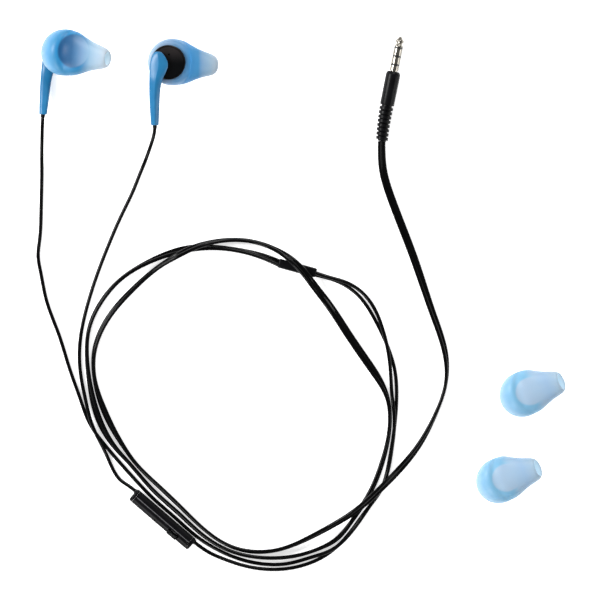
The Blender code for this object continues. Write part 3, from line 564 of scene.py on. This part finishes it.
def mesh_from(bm, name):
    mesh = bpy.data.meshes.new(name)
    bm.to_mesh(mesh)
    bm.free()
    mesh.shade_smooth()
    mesh.set_sharp_from_angle(angle=math.radians(SHARP_ANGLE))
    return mesh


def rounded_box(name, size, centre, radius, segments, edges=None):
    """A box mesh whose chosen edges, or all of them, are rounded."""
    bm = new_box(size)
    round_edges(bm, [e for e in bm.edges if edges is None or edges(e)], radius, segments)
    bmesh.ops.translate(bm, vec=Vector(centre) * MM, verts=bm.verts)
    bmesh.ops.recalc_face_normals(bm, faces=bm.faces)
    return mesh_from(bm, name)


def joined_mesh(name, parts):
    """One mesh from several, each used up."""
    bm = bmesh.new()
    for part in parts:
        bm.from_mesh(part)
        bpy.data.meshes.remove(part)
    return mesh_from(bm, name)


def drill(name, bottom, top):
    """A cutter for a round hole, from bottom to top along its z."""
    profile = ((0.0, top), (HOLE_RADIUS, top), (HOLE_RADIUS, bottom), (0.0, bottom))
    return turned_mesh(name, profile, 24)


def carve(obj, *cutters):
    """Cuts each cutter mesh, given in the object's own frame, out of the object."""
    for mesh in cutters:
        cutter = bpy.data.objects.new(obj.name + "_cutter", mesh)
        bpy.context.scene.collection.objects.link(cutter)
        cutter.matrix_world = obj.matrix_world
        modifier = obj.modifiers.new("cut", "BOOLEAN")
        modifier.operation = "DIFFERENCE"
        modifier.solver = "EXACT"
        modifier.object = cutter
        bpy.context.view_layer.update()
        graph = bpy.context.evaluated_depsgraph_get()
        result = bpy.data.meshes.new_from_object(obj.evaluated_get(graph))
        obj.modifiers.remove(modifier)
        bpy.data.objects.remove(cutter, do_unlink=True)
        obj.data = result
    obj.data.shade_smooth()
    obj.data.set_sharp_from_angle(angle=math.radians(30))


def moved(mesh, matrix):
    mesh.transform(matrix)
    return mesh


def tilted_ellipse(u, v, w, tilt, a, b):
    """A section: an ellipse of half axes a and b about (u, v, w), its a axis tilted (degrees)."""
    lean = math.radians(tilt)

    def at(angle):
        reach = a * math.cos(angle)
        return (u + reach * math.cos(lean), v + b * math.sin(angle), w - reach * math.sin(lean))
    return at


def shift(x, y, z):
    return Matrix.Translation(Vector((x, y, z)) * MM)


def bud_place(bud):
    """An earbud's own frame on the table: w points up for hand 1 and down for hand -1."""
    location, turn, hand = bud
    flip = 0.0 if hand > 0 else math.pi
    return shift(*location) @ Matrix.Rotation(turn, 4, "Z") @ Matrix.Rotation(flip, 4, "X")


# ---------------------------------------------------------------- cords
def smooth_curve(route, count):
    """count points, evenly spaced, on the natural cubic spline through a route."""
    points = np.array(route, float)
    steps = np.linalg.norm(np.diff(points[:, :3], axis=0), axis=1)
    knots = np.concatenate(([0.0], np.cumsum(steps)))
    size = len(points)
    system = np.eye(size)
    right = np.zeros_like(points)
    for i in range(1, size - 1):
        system[i, i - 1] = steps[i - 1]
        system[i, i] = 2.0 * (steps[i - 1] + steps[i])
        system[i, i + 1] = steps[i]
        right[i] = 6.0 * ((points[i + 1] - points[i]) / steps[i]
                          - (points[i] - points[i - 1]) / steps[i - 1])
    bend = np.linalg.solve(system, right)
    places = np.linspace(0.0, knots[-1], count)
    result = []
    for s in places:
        i = min(int(np.searchsorted(knots, s, side="right")) - 1, size - 2)
        h = steps[i]
        a = (knots[i + 1] - s) / h
        b = (s - knots[i]) / h
        curve = a * points[i] + b * points[i + 1]
        curve += ((a ** 3 - a) * bend[i] + (b ** 3 - b) * bend[i + 1]) * h * h / 6.0
        result.append(curve)
    return result


def length_of(points):
    return sum((b - a).length for a, b in zip(points, points[1:]))


def swept_mesh(name, centres, profile, rolls):
    """A tube along centres (mm): profile points are (across, up), turned by each roll."""
    count = len(profile)
    vertices = []
    for i, centre in enumerate(centres):
        ahead = centres[min(i + 1, len(centres) - 1)] - centres[max(i - 1, 0)]
        ahead.normalize()
        side = Vector((-ahead.y, ahead.x, 0.0)).normalized()
        up = ahead.cross(side)
        across = side * math.cos(rolls[i]) + up * math.sin(rolls[i])
        over = up * math.cos(rolls[i]) - side * math.sin(rolls[i])
        for x, y in profile:
            vertices.append(tuple(centre + across * x + over * y))
    mesh = mesh_of(name, vertices, skin_faces(len(centres), count, False), 60.0)
    bm = bmesh.new()
    bm.from_mesh(mesh)
    bmesh.ops.recalc_face_normals(bm, faces=bm.faces)
    bm.to_mesh(mesh)
    bm.free()
    return mesh


def twin_profile():
    """Two bonded round conductors, joined by a thin web."""
    half = TWIN_SPACING / 2.0
    join = math.asin(WEB_HALF_HEIGHT / LEAD_RADIUS)
    steps = 14
    points = []
    for middle, start in ((half, join - math.pi), (-half, join)):
        for k in range(steps + 1):
            angle = start + 2.0 * (math.pi - join) * k / steps
            points.append((middle + LEAD_RADIUS * math.cos(angle), LEAD_RADIUS * math.sin(angle)))
    return points


def cord_points(route, samples):
    """Points CORD_STEP apart on a route, whose length is first read from some samples."""
    rough = [Vector(p[:3]) for p in smooth_curve(route, samples)]
    return smooth_curve(route, int(length_of(rough) / CORD_STEP))


def put_cord(name, body, centres, profile, rolls):
    mesh = swept_mesh(name, centres, profile, rolls)
    obj = put(name, mesh, body, "cord_black")
    return obj


def make_lead(node, route, bud_body=None):
    """A single lead. Where bud_body is given, the lead rides on no body and its place is baked into
    its mesh.
    """
    centres = [Vector((x, y, LEAD_RADIUS + max(lift, 0.0)))
               for x, y, lift in cord_points(route, 200)]
    obj = put_cord(node + "_cord", None if bud_body else ROOT, centres,
                   circle(LEAD_RADIUS, LEAD_POINTS), [0.0] * len(centres))
    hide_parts(node)
    if bud_body:
        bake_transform(obj)


def make_main_cord():
    centres = []
    rolls = []
    for x, y, lift, roll in cord_points(MAIN_CORD_ROUTE, 800):
        rolls.append(math.radians(min(max(roll, 0.0), 90.0)))
        rise = TWIN_SPACING / 2.0 * math.sin(rolls[-1])
        centres.append(Vector((x, y, LEAD_RADIUS + rise + max(lift, 0.0))))
    obj = put_cord("main_twin_cord", ROOT, centres, twin_profile(), rolls)
    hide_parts("main_cord")


# ---------------------------------------------------------------- earbuds
def between(front, back, v, b):
    """A cushion section that spans from a front point to a back point, each (u, w)."""
    run = back[0] - front[0]
    drop = front[1] - back[1]
    tilt = math.degrees(math.atan2(drop, run))
    middle = ((front[0] + back[0]) / 2.0, (front[1] + back[1]) / 2.0)
    return (middle[0], v, middle[1], tilt, math.hypot(run, drop) / 2.0, b)


def cushion_mesh(name, hand, scale, swell, rise):
    """A thick ring, a shallow valley at the window's edge, and the nozzle with its bore.

    Sections are (u, v, w, tilt, a, b). Towards the nozzle, swell widens them and rise shifts
    them across. The point attribute "bore" says how strongly the bore's wall glows with painted light,
    which stands in for light coming through the thin gel.
    """
    outer = (
        (0.0, 0.0, MOUTH_START, 0, 7.3, 7.3), (0.1, 0.1, 2.0, 0, 8.3, 8.5),
        (0.4, 0.2, 3.6, 8, 8.9, 9.4), between((-6.0, 9.1), (9.2, 2.05), 0.2, 9.45),
        between((-3.6, 10.7), (9.3, 2.1), 0.2, 9.3), between((-1.9, 10.95), (9.4, 2.15), 0.2, 9.15),
        between((-0.8, 10.5), (9.55, 2.2), 0.1, 9.05), between((0.5, 10.6), (9.8, 2.3), 0.1, 8.9),
        between((2.4, 11.2), (10.2, 2.5), 0.0, 8.6), (8.0, -0.2, 7.2, 55, 5.3, 7.8),
        (12.0, -0.5, 7.4, 61, 4.45, 5.8), (15.5, -0.7, 7.7, 63, 4.0, 4.8),
        (17.4, -0.9, 8.0, 63, 3.75, 4.2), (18.4, -0.9, 8.3, 63, 3.4, 3.6),
        (18.9, -0.9, 8.5, 63, 2.75, 2.8),
    )
    inner = (
        (18.6, -0.9, 8.4, 63, 2.2, 2.3), (15.2, -0.8, 7.7, 63, 2.9, 3.2),
        (12.0, -0.5, 7.35, 61, 3.5, 4.4), (8.0, -0.2, 7.1, 55, 4.1, 5.8),
        (4.6, 0.1, 6.5, 42, 5.1, 7.0), (1.6, 0.1, 6.0, 22, 6.3, 7.2),
        (0.0, 0.0, 5.0, 0, MOUTH_RADIUS, MOUTH_RADIUS),
        (0.0, 0.0, MOUTH_START, 0, MOUTH_RADIUS, MOUTH_RADIUS),
    )
    sections = []
    for u, v, w, tilt, a, b in outer + inner:
        share = min(1.0, u / NOZZLE_ROOT)
        sections.append(tilted_ellipse(u * scale, v * scale + rise * share, w * scale, tilt,
                                       a * scale, b * scale + swell * share))
    mesh = loft_mesh(name, sections, CUSHION_POINTS, hand, tube=True)
    # The bore's painted glow: its strength grows along the nozzle.
    glow = mesh.attributes.new("bore", "FLOAT", "POINT")
    for i, section in enumerate(inner, len(outer)):
        strength = min(max((section[0] - BORE_START) / BORE_REACH, 0.0), 1.0)
        for k in range(CUSHION_POINTS):
            glow.data[i * CUSHION_POINTS + k].value = strength
    return mesh


def make_cushion(name, node, body, place, hand, material, scale=1.0, swell=0.0, rise=0.0):
    mesh = cushion_mesh(name, hand, scale, swell, rise)
    obj = put(name, mesh, body, material, place)
    subdivide(obj, 2)
    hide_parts(node)


def make_rear_cup(side, body, place, hand):
    """The rear shell, turned from its inner floor over the lip to the domed disc."""
    profile = [(0.0, 0.95), (5.2, 0.95), (5.2, 4.5), (5.3, 4.6), (5.9, 4.6), (6.0, 4.5), (6.0, 1.45),
               (6.1, 1.3), (6.7, 1.3), (6.87, 1.15), (6.9, 0.95), (6.9, 0.62), (6.85, 0.5),
               (6.7, 0.38), (6.45, 0.33), (6.35, 0.42), (6.2, 0.42), (DISC_RADIUS, DISC_DOME)]
    for k in range(DISC_RINGS - 1, -1, -1):
        share = k / DISC_RINGS
        profile.append((DISC_RADIUS * share, DISC_DOME * share ** 2))
    obj = turned("rear_cup_disc_" + side, profile, body, "disc_black", place, 96)
    carve(obj, moved(drill("vent", -1.0, VENT_FLOOR), shift(VENT_AT[0], hand * VENT_AT[1], 0.0)))
    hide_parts("rear_cup_" + side)


def make_front_baffle(side, body, place, hand):
    """The sound outlet's shell. Sections are (u, w, tilt, a, b)."""
    outer = (
        (0.0, 4.9, 0, 6.0, 6.0), (0.0, 5.0, 0, 5.98, 5.98), (0.35, 5.65, 6, 5.45, 5.7),
        (1.2, 6.6, 20, 4.4, 4.9), (2.2, 7.45, 32, 3.4, 3.9), (2.45, 7.8, OUTLET_TILT, 2.95, 3.35),
    )
    inner = (
        (2.4, 7.7, OUTLET_TILT, 2.4, 2.6), (2.0, 7.1, 32, 2.7, 3.1), (1.1, 6.2, 20, 3.6, 4.1),
        (0.3, 5.4, 6, 4.75, 4.95), (0.0, 5.0, 0, 5.25, 5.25), (0.0, 4.9, 0, 5.25, 5.25),
    )
    sections = [tilted_ellipse(u, 0.0, w, tilt, a, b) for u, w, tilt, a, b in outer + inner]
    mesh = loft_mesh("sound_outlet_" + side, sections, OUTLET_POINTS, hand, tube=True)
    obj = put("sound_outlet_" + side, mesh, body, "black_satin", place=place)
    subdivide(obj, 1)
    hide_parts("front_baffle_" + side)


def make_grille(side, body, place):
    """The outlet's steel disc, with a hole in the middle and two rings of holes."""
    profile = ((0.0, 0.15), (2.05, 0.15), (2.15, 0.08), (2.15, -0.08), (2.05, -0.15), (0.0, -0.15))
    lean = place @ shift(*OUTLET_AT) @ Matrix.Rotation(math.radians(OUTLET_TILT), 4, "Y")
    obj = turned("outlet_grille_" + side, profile, body, "steel", lean, 64)
    holes = bmesh.new()
    for x, y in [(0.0, 0.0)] + circle(0.75, 6) + circle(1.5, 12):
        bmesh.ops.create_cone(holes, cap_ends=True, segments=12, radius1=GRILLE_HOLE * MM,
                              radius2=GRILLE_HOLE * MM, depth=1.0 * MM, matrix=shift(x, y, 0.0))
    mesh = bpy.data.meshes.new("holes")
    holes.to_mesh(mesh)
    holes.free()
    carve(obj, mesh)
    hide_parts("grille_" + side)


def stem_section(v, left, right, back, front):
    """A stem section: a soft box at the front and a shallow roof with a ridge at the back."""
    u0 = (left + right) / 2.0
    w0 = (back + front) / 2.0
    a = (right - left) / 2.0
    b = (front - back) / 2.0

    def at(angle):
        c = math.cos(angle)
        s = math.sin(angle)
        u = a * math.copysign(abs(c) ** 0.85, c)
        if s >= 0.0:
            w = b * s ** 0.8
        else:
            w = -b * (0.3 * abs(s) ** 0.8 + 0.7 * (1.0 - abs(c)))
        return (u0 + u, v, w0 + w)
    return at


def make_stem(side, body, place, hand):
    """The stem, which leans towards the cushion's side, and the collar at its end.

    Rows are (v, left, right, back, front), where left and right are u, and back and front are w.
    """
    rows = (
        (4.25, -4.9, -3.3, -2.3, -1.1), (4.1, -5.3, -2.8, -2.5, -0.8), (3.7, -5.8, -2.3, -2.75, -0.55),
        (2.4, -6.6, -1.2, -3.0, -0.35), (0.3, -7.15, -0.1, -3.15, -GAP),
        (-1.6, -7.4, 0.1, STEM_BACK, -GAP), (-3.8, -7.5, -0.7, STEM_BACK, -GAP),
        (-5.9, -7.55, -1.85, STEM_BACK, -GAP), (-8.1, -7.6, -2.6, STEM_BACK, -GAP),
        (-11.0, -7.6, -3.1, STEM_BACK, -0.1), (-15.2, -7.55, -3.35, STEM_BACK, 0.1),
        (-19.4, -7.3, -3.5, STEM_BACK, 0.0), (-24.2, -7.0, -3.7, -3.1, -0.1),
        (-24.9, -6.95, -3.75, -3.05, -0.2), (STEM_END, -6.85, -3.85, -2.95, -0.3),
    )
    sections = []
    for v, left, right, back, front in rows:
        lean = STEM_LEAN * max(0.0, STEM_LEAN_FROM - v)
        sections.append(stem_section(v, left, right, back + lean, front + lean))
    mesh = loft_mesh("stem_shell_" + side, sections, STEM_POINTS, hand)
    obj = put("stem_shell_" + side, mesh, body, "stem_blue", place=place)
    ridge = 3 * STEM_POINTS // 4
    crease = mesh.attributes.new("crease_edge", "FLOAT", "EDGE")
    for edge in mesh.edges:
        if all(end % STEM_POINTS == ridge for end in edge.vertices):
            crease.data[edge.index].value = 0.8
    subdivide(obj, 2)
    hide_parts("stem_" + side)
    exit_u, exit_w = STEM_EXIT
    exit_w += STEM_LEAN * (STEM_LEAN_FROM - STEM_END)
    turn = hand * (math.pi / 2.0 - math.atan(STEM_LEAN))
    out = place @ shift(exit_u, hand * STEM_END, exit_w) @ Matrix.Rotation(turn, 4, "X")
    profile = ((0.0, 1.15), (0.78, 1.15), (0.84, 1.05), (0.92, 0.0), (0.92, -0.3), (0.0, -0.3))
    bushing = turned("cord_collar_" + side, profile, body, "black_satin", out, 40)
    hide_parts("cord_bushing_" + side)


def make_earbud(side, bud, body, cushion_body):
    place = bud_place(bud)
    hand = bud[2]
    make_cushion("ear_cushion_" + side, "cushion_" + side, cushion_body, place, hand,
                 "gel_" + side)
    make_rear_cup(side, body, place, hand)
    make_front_baffle(side, body, place, hand)
    make_grille(side, body, place)
    make_stem(side, body, place, hand)


def make_spares():
    for label, (at, turn) in (("upper", SPARE_UPPER), ("lower", SPARE_LOWER)):
        place = shift(at[0], at[1], -MOUTH_START * SPARE_SCALE) @ Matrix.Rotation(turn, 4, "Z")
        make_cushion("loose_cushion_" + label, "spare_cushion_" + label, label + "_spare", place, 1,
                     "gel_spare", SPARE_SCALE, SPARE_SWELL, SPARE_RISE)


# ---------------------------------------------------------------- pod
def put_pod_piece(name, node, mesh, body, material, place):
    obj = put(name, mesh, body, material, place=place)
    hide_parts(node)
    return obj


def pod_half(name, node, facing, place):
    """Half of the case, hollow and open towards the other half."""
    depth = POD_DEPTH / 2.0 - POD_SEAM
    middle = facing * (POD_SEAM + depth / 2.0)
    mid = POD_HEIGHT / 2.0

    def outer(edge):
        ends = [v.co for v in edge.verts]
        return abs(ends[0].x - ends[1].x) > 1e-6 and all(co.y * facing > 0.0 for co in ends)
    mesh = rounded_box(name, (POD_LENGTH, depth, POD_HEIGHT), (0.0, middle, mid), POD_ROUNDING, 8,
                       outer)
    obj = put_pod_piece(name, node, mesh, ROOT, "black_satin", place)
    room = (POD_LENGTH - 2.0 * POD_WALL, depth, POD_HEIGHT - 2.0 * POD_WALL)
    carve(obj, rounded_box(name + "_hollow", room, (0.0, middle - facing * POD_WALL, mid), 0.3, 2))
    return obj


def make_pod():
    """The pod's pieces. slant is how far the rounded edge's middle lies in from its corner."""
    place = shift(*POD_AT, 0.0) @ Matrix.Rotation(POD_TURN, 4, "Z")
    mid = POD_HEIGHT / 2.0
    length, depth, height = BUTTON_SIZE
    low = POD_HEIGHT + BUTTON_PROUD - height
    outside = -POD_DEPTH / 2.0 - 2 * BUTTON_PROUD
    window_back = outside + depth + BUTTON_TRAVEL + GAP
    slant = POD_ROUNDING * (1.0 - math.sqrt(0.5))
    front = pod_half("pod_button_half", "pod_front_shell", -1, place)
    window = rounded_box("window", (length + 2.0 * WINDOW_CLEARANCE, WINDOW_CUT, POD_HEIGHT),
                         (BUTTON_X, window_back - WINDOW_CUT / 2.0, low - WINDOW_CLEARANCE + mid),
                         0.3, 3)
    port = moved(drill("port", -1.0, 1.0),
                 shift(MIC_X, slant - POD_DEPTH / 2.0, POD_HEIGHT - slant)
                 @ Matrix.Rotation(math.radians(45), 4, "X"))
    carve(front, window, port)
    back = pod_half("pod_plain_half", "pod_rear_shell", 1, place)
    button = put_pod_piece("button_cap", "answer_button", button_mesh(low + height / 2.0 - mid),
                           "button", "black_gloss",
                           place @ shift(BUTTON_X, outside + depth / 2.0, mid))
    pieces = [front, back, button]
    for label, way in (("upper", -1), ("lower", 1)):
        pieces.append(put_pod_piece("pod_cord_end_" + label, "pod_grommet_" + label,
                                    pod_cap_mesh(way), ROOT, "black_satin", place))
    # The bead's grey is a painted highlight along the seam's ridge; the case itself is black.
    bead = rounded_box("pod_seam_bead", (POD_LENGTH - 1.0, 0.34, 0.3),
                       (0.0, 0.0, POD_HEIGHT - 0.03), 0.12, 3)
    pieces.append(put("pod_seam_bead", bead, ROOT, "seam_highlight_grey", place))
    inside = ("circuit_board", "tact_switch", "microphone_capsule")
    return pieces + [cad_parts[node] for node in inside]


def pod_cap_mesh(way):
    """The pod's end cap and the short neck that the lead goes into."""
    start = POD_LENGTH / 2.0 + 0.03
    end = POD_LENGTH / 2.0 + GAP + POD_CAP_LENGTH
    bm = new_box((end - start, POD_DEPTH - 0.05, POD_HEIGHT))
    along = [e for e in bm.edges if abs(e.verts[0].co.x - e.verts[1].co.x) > 1e-6]
    round_edges(bm, along, POD_ROUNDING, 8)
    rim = [e for e in bm.edges if all(v.co.x * way > 0.0 for v in e.verts)]
    round_edges(bm, rim, 0.8, 4)
    middle = Vector((way * (start + end) / 2.0, 0.0, POD_HEIGHT / 2.0))
    bmesh.ops.translate(bm, vec=middle * MM, verts=bm.verts)
    neck = turned_mesh("neck", ((0.0, 0.28), (0.85, 0.28), (0.95, 0.2), (1.1, -0.1), (0.0, -0.1)), 32)
    moved(neck, shift(way * end, POD_NECK_Y, POD_HEIGHT / 2.0)
          @ Matrix.Rotation(way * math.pi / 2.0, 4, "Y"))
    return joined_mesh("pod_cap", (mesh_from(bm, "cap"), neck))


def wrapped_bar(width, grow, middle):
    """A bar across the button whose upper outside edge is well rounded.

    It is grow larger than the button, outwards and upwards.
    """
    _, depth, height = BUTTON_SIZE
    bm = new_box((width, depth + grow, height + grow))
    edge = [e for e in bm.edges if all(v.co.y < 0.0 and v.co.z > 0.0 for v in e.verts)]
    round_edges(bm, edge, BUTTON_ROUNDING + grow, 10)
    corners = [e for e in bm.edges if e.calc_face_angle(0.0) > math.radians(50)]
    round_edges(bm, corners, min(0.12, width / 3.0), 2)
    bmesh.ops.translate(bm, vec=Vector((0.0, -grow / 2.0, middle + grow / 2.0)) * MM, verts=bm.verts)
    return mesh_from(bm, "bar")


def button_mesh(middle):
    """The answer button's cap, which wraps over the case's edge, with ribs across it."""
    parts = [wrapped_bar(BUTTON_SIZE[0], 0.0, middle)]
    for k in range(BUTTON_RIBS):
        x = RIB_SPACING * (k - (BUTTON_RIBS - 1) / 2.0)
        parts.append(moved(wrapped_bar(RIB_WIDTH, RIB_HEIGHT, middle), shift(x, 0.0, 0.0)))
    return joined_mesh("button_cap", parts)


# ---------------------------------------------------------------- splitter and plug
def make_splitter():
    place = shift(*SPLIT_AT, 0.0) @ Matrix.Rotation(SPLIT_TURN, 4, "Z")
    height = SPLIT_HEIGHT / 2.0 - SPLIT_SEAM
    pieces = []
    for name, node, facing in (("splitter_lower_half", "splitter_base", -1),
                               ("splitter_upper_half", "splitter_cover", 1)):
        middle = SPLIT_HEIGHT / 2.0 + facing * (SPLIT_SEAM + height / 2.0)

        def outer(edge):
            ends = edge.verts
            upright = abs(ends[0].co.z - ends[1].co.z) > 1e-6
            return upright or all(v.co.z * facing > 0.0 for v in ends)
        mesh = rounded_box(name, (*SPLIT_SIZE, height), (0.0, 0.0, middle), 0.6, 6, outer)
        obj = put(name, mesh, ROOT, "black_satin", place=place)
        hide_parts(node)
        pieces.append(obj)
    return pieces


def relief_mesh():
    """The ribbed strain relief, bent a little and tapered towards the cord."""
    pitch = RELIEF_LENGTH / RELIEF_RIBS
    stations = [(0.02 - GAP, 2.1), (0.0, 2.1)]
    for k in range(RELIEF_RIBS):
        crest = RELIEF_RADIUS - RELIEF_TAPER * k / (RELIEF_RIBS - 1)
        start = k * pitch
        stations += [(start + 0.22 * pitch, crest - 0.62), (start + 0.27 * pitch, crest - 0.1),
                     (start + 0.33 * pitch, crest), (start + 0.92 * pitch, crest),
                     (start + 0.97 * pitch, crest - 0.1), (start + pitch - 0.02, crest - 0.55)]
    stations += [(RELIEF_LENGTH, 1.7), (RELIEF_LENGTH + 0.55, 1.6)]
    vertices = []
    for s, radius in stations:
        bend = RELIEF_BEND * (s / RELIEF_LENGTH) ** 2
        vertices += [(bend + x, y, -GRIP_LENGTH - GAP - s) for x, y in circle(radius, RELIEF_POINTS)]
    faces = skin_faces(len(stations), RELIEF_POINTS, False)
    return mesh_of("ribbed_relief", vertices, [tuple(reversed(face)) for face in faces])


def make_plug():
    place = (shift(*PLUG_AT) @ Matrix.Rotation(PLUG_TURN, 4, "Z")
             @ Matrix.Rotation(math.radians(-90), 4, "X"))
    edge = PLUG_RADIUS - RING_EDGE
    tip = ((0.0, 14.2), (0.3, 14.17), (0.6, 13.95), (0.85, 13.55), (1.25, 13.05), (1.58, 12.65),
           (1.68, 12.4), (1.66, 12.15), (1.5, 11.85), (1.25, 11.5), (1.18, 11.2), (1.24, 10.9),
           (1.5, 10.6), (1.72, 10.35), (PLUG_RADIUS, 10.2), (PLUG_RADIUS, 10.02), (1.7, 9.98),
           (0.4, 9.98), (0.4, 1.3), (0.0, 1.3))
    made = [("plug_tip_contact", "plug_tip", tip, "contact_metal", False)]
    for name, node, low, high in (("plug_upper_ring", "plug_ring_first", 6.5, 9.2),
                                  ("plug_lower_ring", "plug_ring_second", 3.05, 5.75)):
        ring = ((1.35, high), (edge, high), (PLUG_RADIUS, high - RING_EDGE),
                (PLUG_RADIUS, low + RING_EDGE), (edge, low), (1.35, low))
        made.append((name, node, ring, "contact_metal", True))
    sleeve = ((0.0, 0.7), (1.35, 0.7), (1.35, 2.3), (edge, 2.3), (PLUG_RADIUS, 2.3 - RING_EDGE),
              (PLUG_RADIUS, 0.3), (1.3, 0.3), (1.3, -3.6), (0.0, -3.6))
    made.append(("plug_shank_contact", "plug_sleeve_contact", sleeve, "contact_metal", False))
    collars = ((0.7, 9.92), (1.74, 9.92), (1.74, 9.27), (1.05, 9.27), (1.05, 6.43), (1.74, 6.43),
               (1.74, 5.82), (1.05, 5.82), (1.05, 2.98), (1.74, 2.98), (1.74, 2.37), (1.05, 2.37),
               (1.05, 1.0), (0.7, 1.0))
    made.append(("plug_insulating_core", "plug_insulator", collars, "insulator_black", True))
    grip = ((0.0, -3.9), (1.6, -3.9), (1.6, -0.1), (1.7, 0.0), (1.95, 0.0), (2.2, -0.1),
            (2.48, -0.35), (2.7, -0.68), (2.84, -1.1), (2.9, -1.6), (2.84, -13.3), (2.78, -13.65),
            (2.62, -GRIP_LENGTH), (0.0, -GRIP_LENGTH))
    made.append(("plug_moulded_grip", "plug_grip", grip, "black_satin", False))
    pieces = []
    for name, node, profile, material, closed in made:
        obj = turned(name, profile, ROOT, material, place, 80, closed)
        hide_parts(node)
        pieces.append(obj)
    relief = put("ribbed_relief", relief_mesh(), ROOT, "black_satin", place=place)
    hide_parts("strain_relief")
    pieces.append(relief)
    return pieces


# ---------------------------------------------------------------- inner parts
def dress(node, material):
    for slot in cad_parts[node].material_slots:
        slot.material = MATERIALS[material]


def dress_nodes():
    """Gives each CAD node that stays its detailed material."""
    dressed = {
        "damping_felt": "felt", "yoke": "steel", "magnet": "magnet_grey", "pole_plate": "steel",
        "voice_coil": "copper", "driver_frame": "black_satin", "diaphragm": "film",
    }
    for side in ("left", "right"):
        for start, material in dressed.items():
            dress(start + "_" + side, material)
    dress("circuit_board", "board_green")
    dress("tact_switch", "steel")
    dress("microphone_capsule", "contact_metal")


# ---------------------------------------------------------------- stage
def make_floor():
    corners = [(FLOOR_REACH * x, FLOOR_REACH * y, -FLOOR_DROP)
               for x, y in ((-1, -1), (1, -1), (1, 1), (-1, 1))]
    mesh = bpy.data.meshes.new("floor")
    mesh.from_pydata([Vector(corner) * MM for corner in corners], [], [(0, 1, 2, 3)])
    floor = bpy.data.objects.new("floor", mesh)
    bpy.context.scene.collection.objects.link(floor)
    material, _, shader = new_material("floor_pale", (0.93, 0.93, 0.93), 0.9)
    shader.inputs["Emission Color"].default_value = (1.0, 1.0, 1.0, 1.0)
    shader.inputs["Emission Strength"].default_value = 0.6
    mesh.materials.append(material)


def make_light(name, location, power):
    """A square lamp (metres, watts) that points at the middle of the set."""
    data = bpy.data.lights.new(name, "AREA")
    data.shape = "RECTANGLE"
    data.size = data.size_y = 0.4
    data.energy = power
    light = bpy.data.objects.new(name, data)
    light.location = location
    light.rotation_euler = (-Vector(location)).to_track_quat("-Z", "Y").to_euler()
    bpy.context.scene.collection.objects.link(light)


def make_lights():
    world = bpy.data.worlds.new("studio")
    world.use_nodes = True
    background = world.node_tree.nodes["Background"]
    background.inputs["Color"].default_value = (1.0, 1.0, 1.0, 1.0)
    background.inputs["Strength"].default_value = 0.28
    bpy.context.scene.world = world
    make_light("key", (-0.84, 0.34, 0.75), 14.0)
    make_light("low_left", (-0.55, -0.80, 0.70), 8.5)
    make_light("right", (1.10, -0.20, 0.40), 3.0)
    make_light("far", (0.25, 0.95, 0.70), 7.5)
    bpy.context.scene.view_settings.view_transform = "Standard"


def make_camera():
    """Straight down, with a very long lens, over a square of floor VIEW_WIDTH wide."""
    data = bpy.data.cameras.new("camera")
    data.sensor_width = SENSOR_WIDTH
    data.lens = SENSOR_WIDTH * VIEW_HEIGHT / VIEW_WIDTH
    data.clip_end = 20.0
    camera = bpy.data.objects.new("camera", data)
    camera.location = Vector((*VIEW_CENTRE, VIEW_HEIGHT)) * MM
    bpy.context.scene.collection.objects.link(camera)
    bpy.context.scene.camera = camera


make_camera()
MATERIALS = make_materials()
PLUG_PIECES = make_plug()
SPLITTER_PIECES = make_splitter()
POD_PIECES = make_pod()
make_lead("left_lead", LEFT_LEAD_ROUTE)
make_lead("right_lead_upper", RIGHT_LEAD_UPPER_ROUTE, "right_earbud")
make_lead("right_lead_lower", RIGHT_LEAD_LOWER_ROUTE)
make_main_cord()
make_earbud("left", LEFT_BUD, ROOT, "left_cushion")
make_earbud("right", RIGHT_BUD, "right_earbud", ROOT)
make_spares()
dress_nodes()
make_floor()
make_lights()
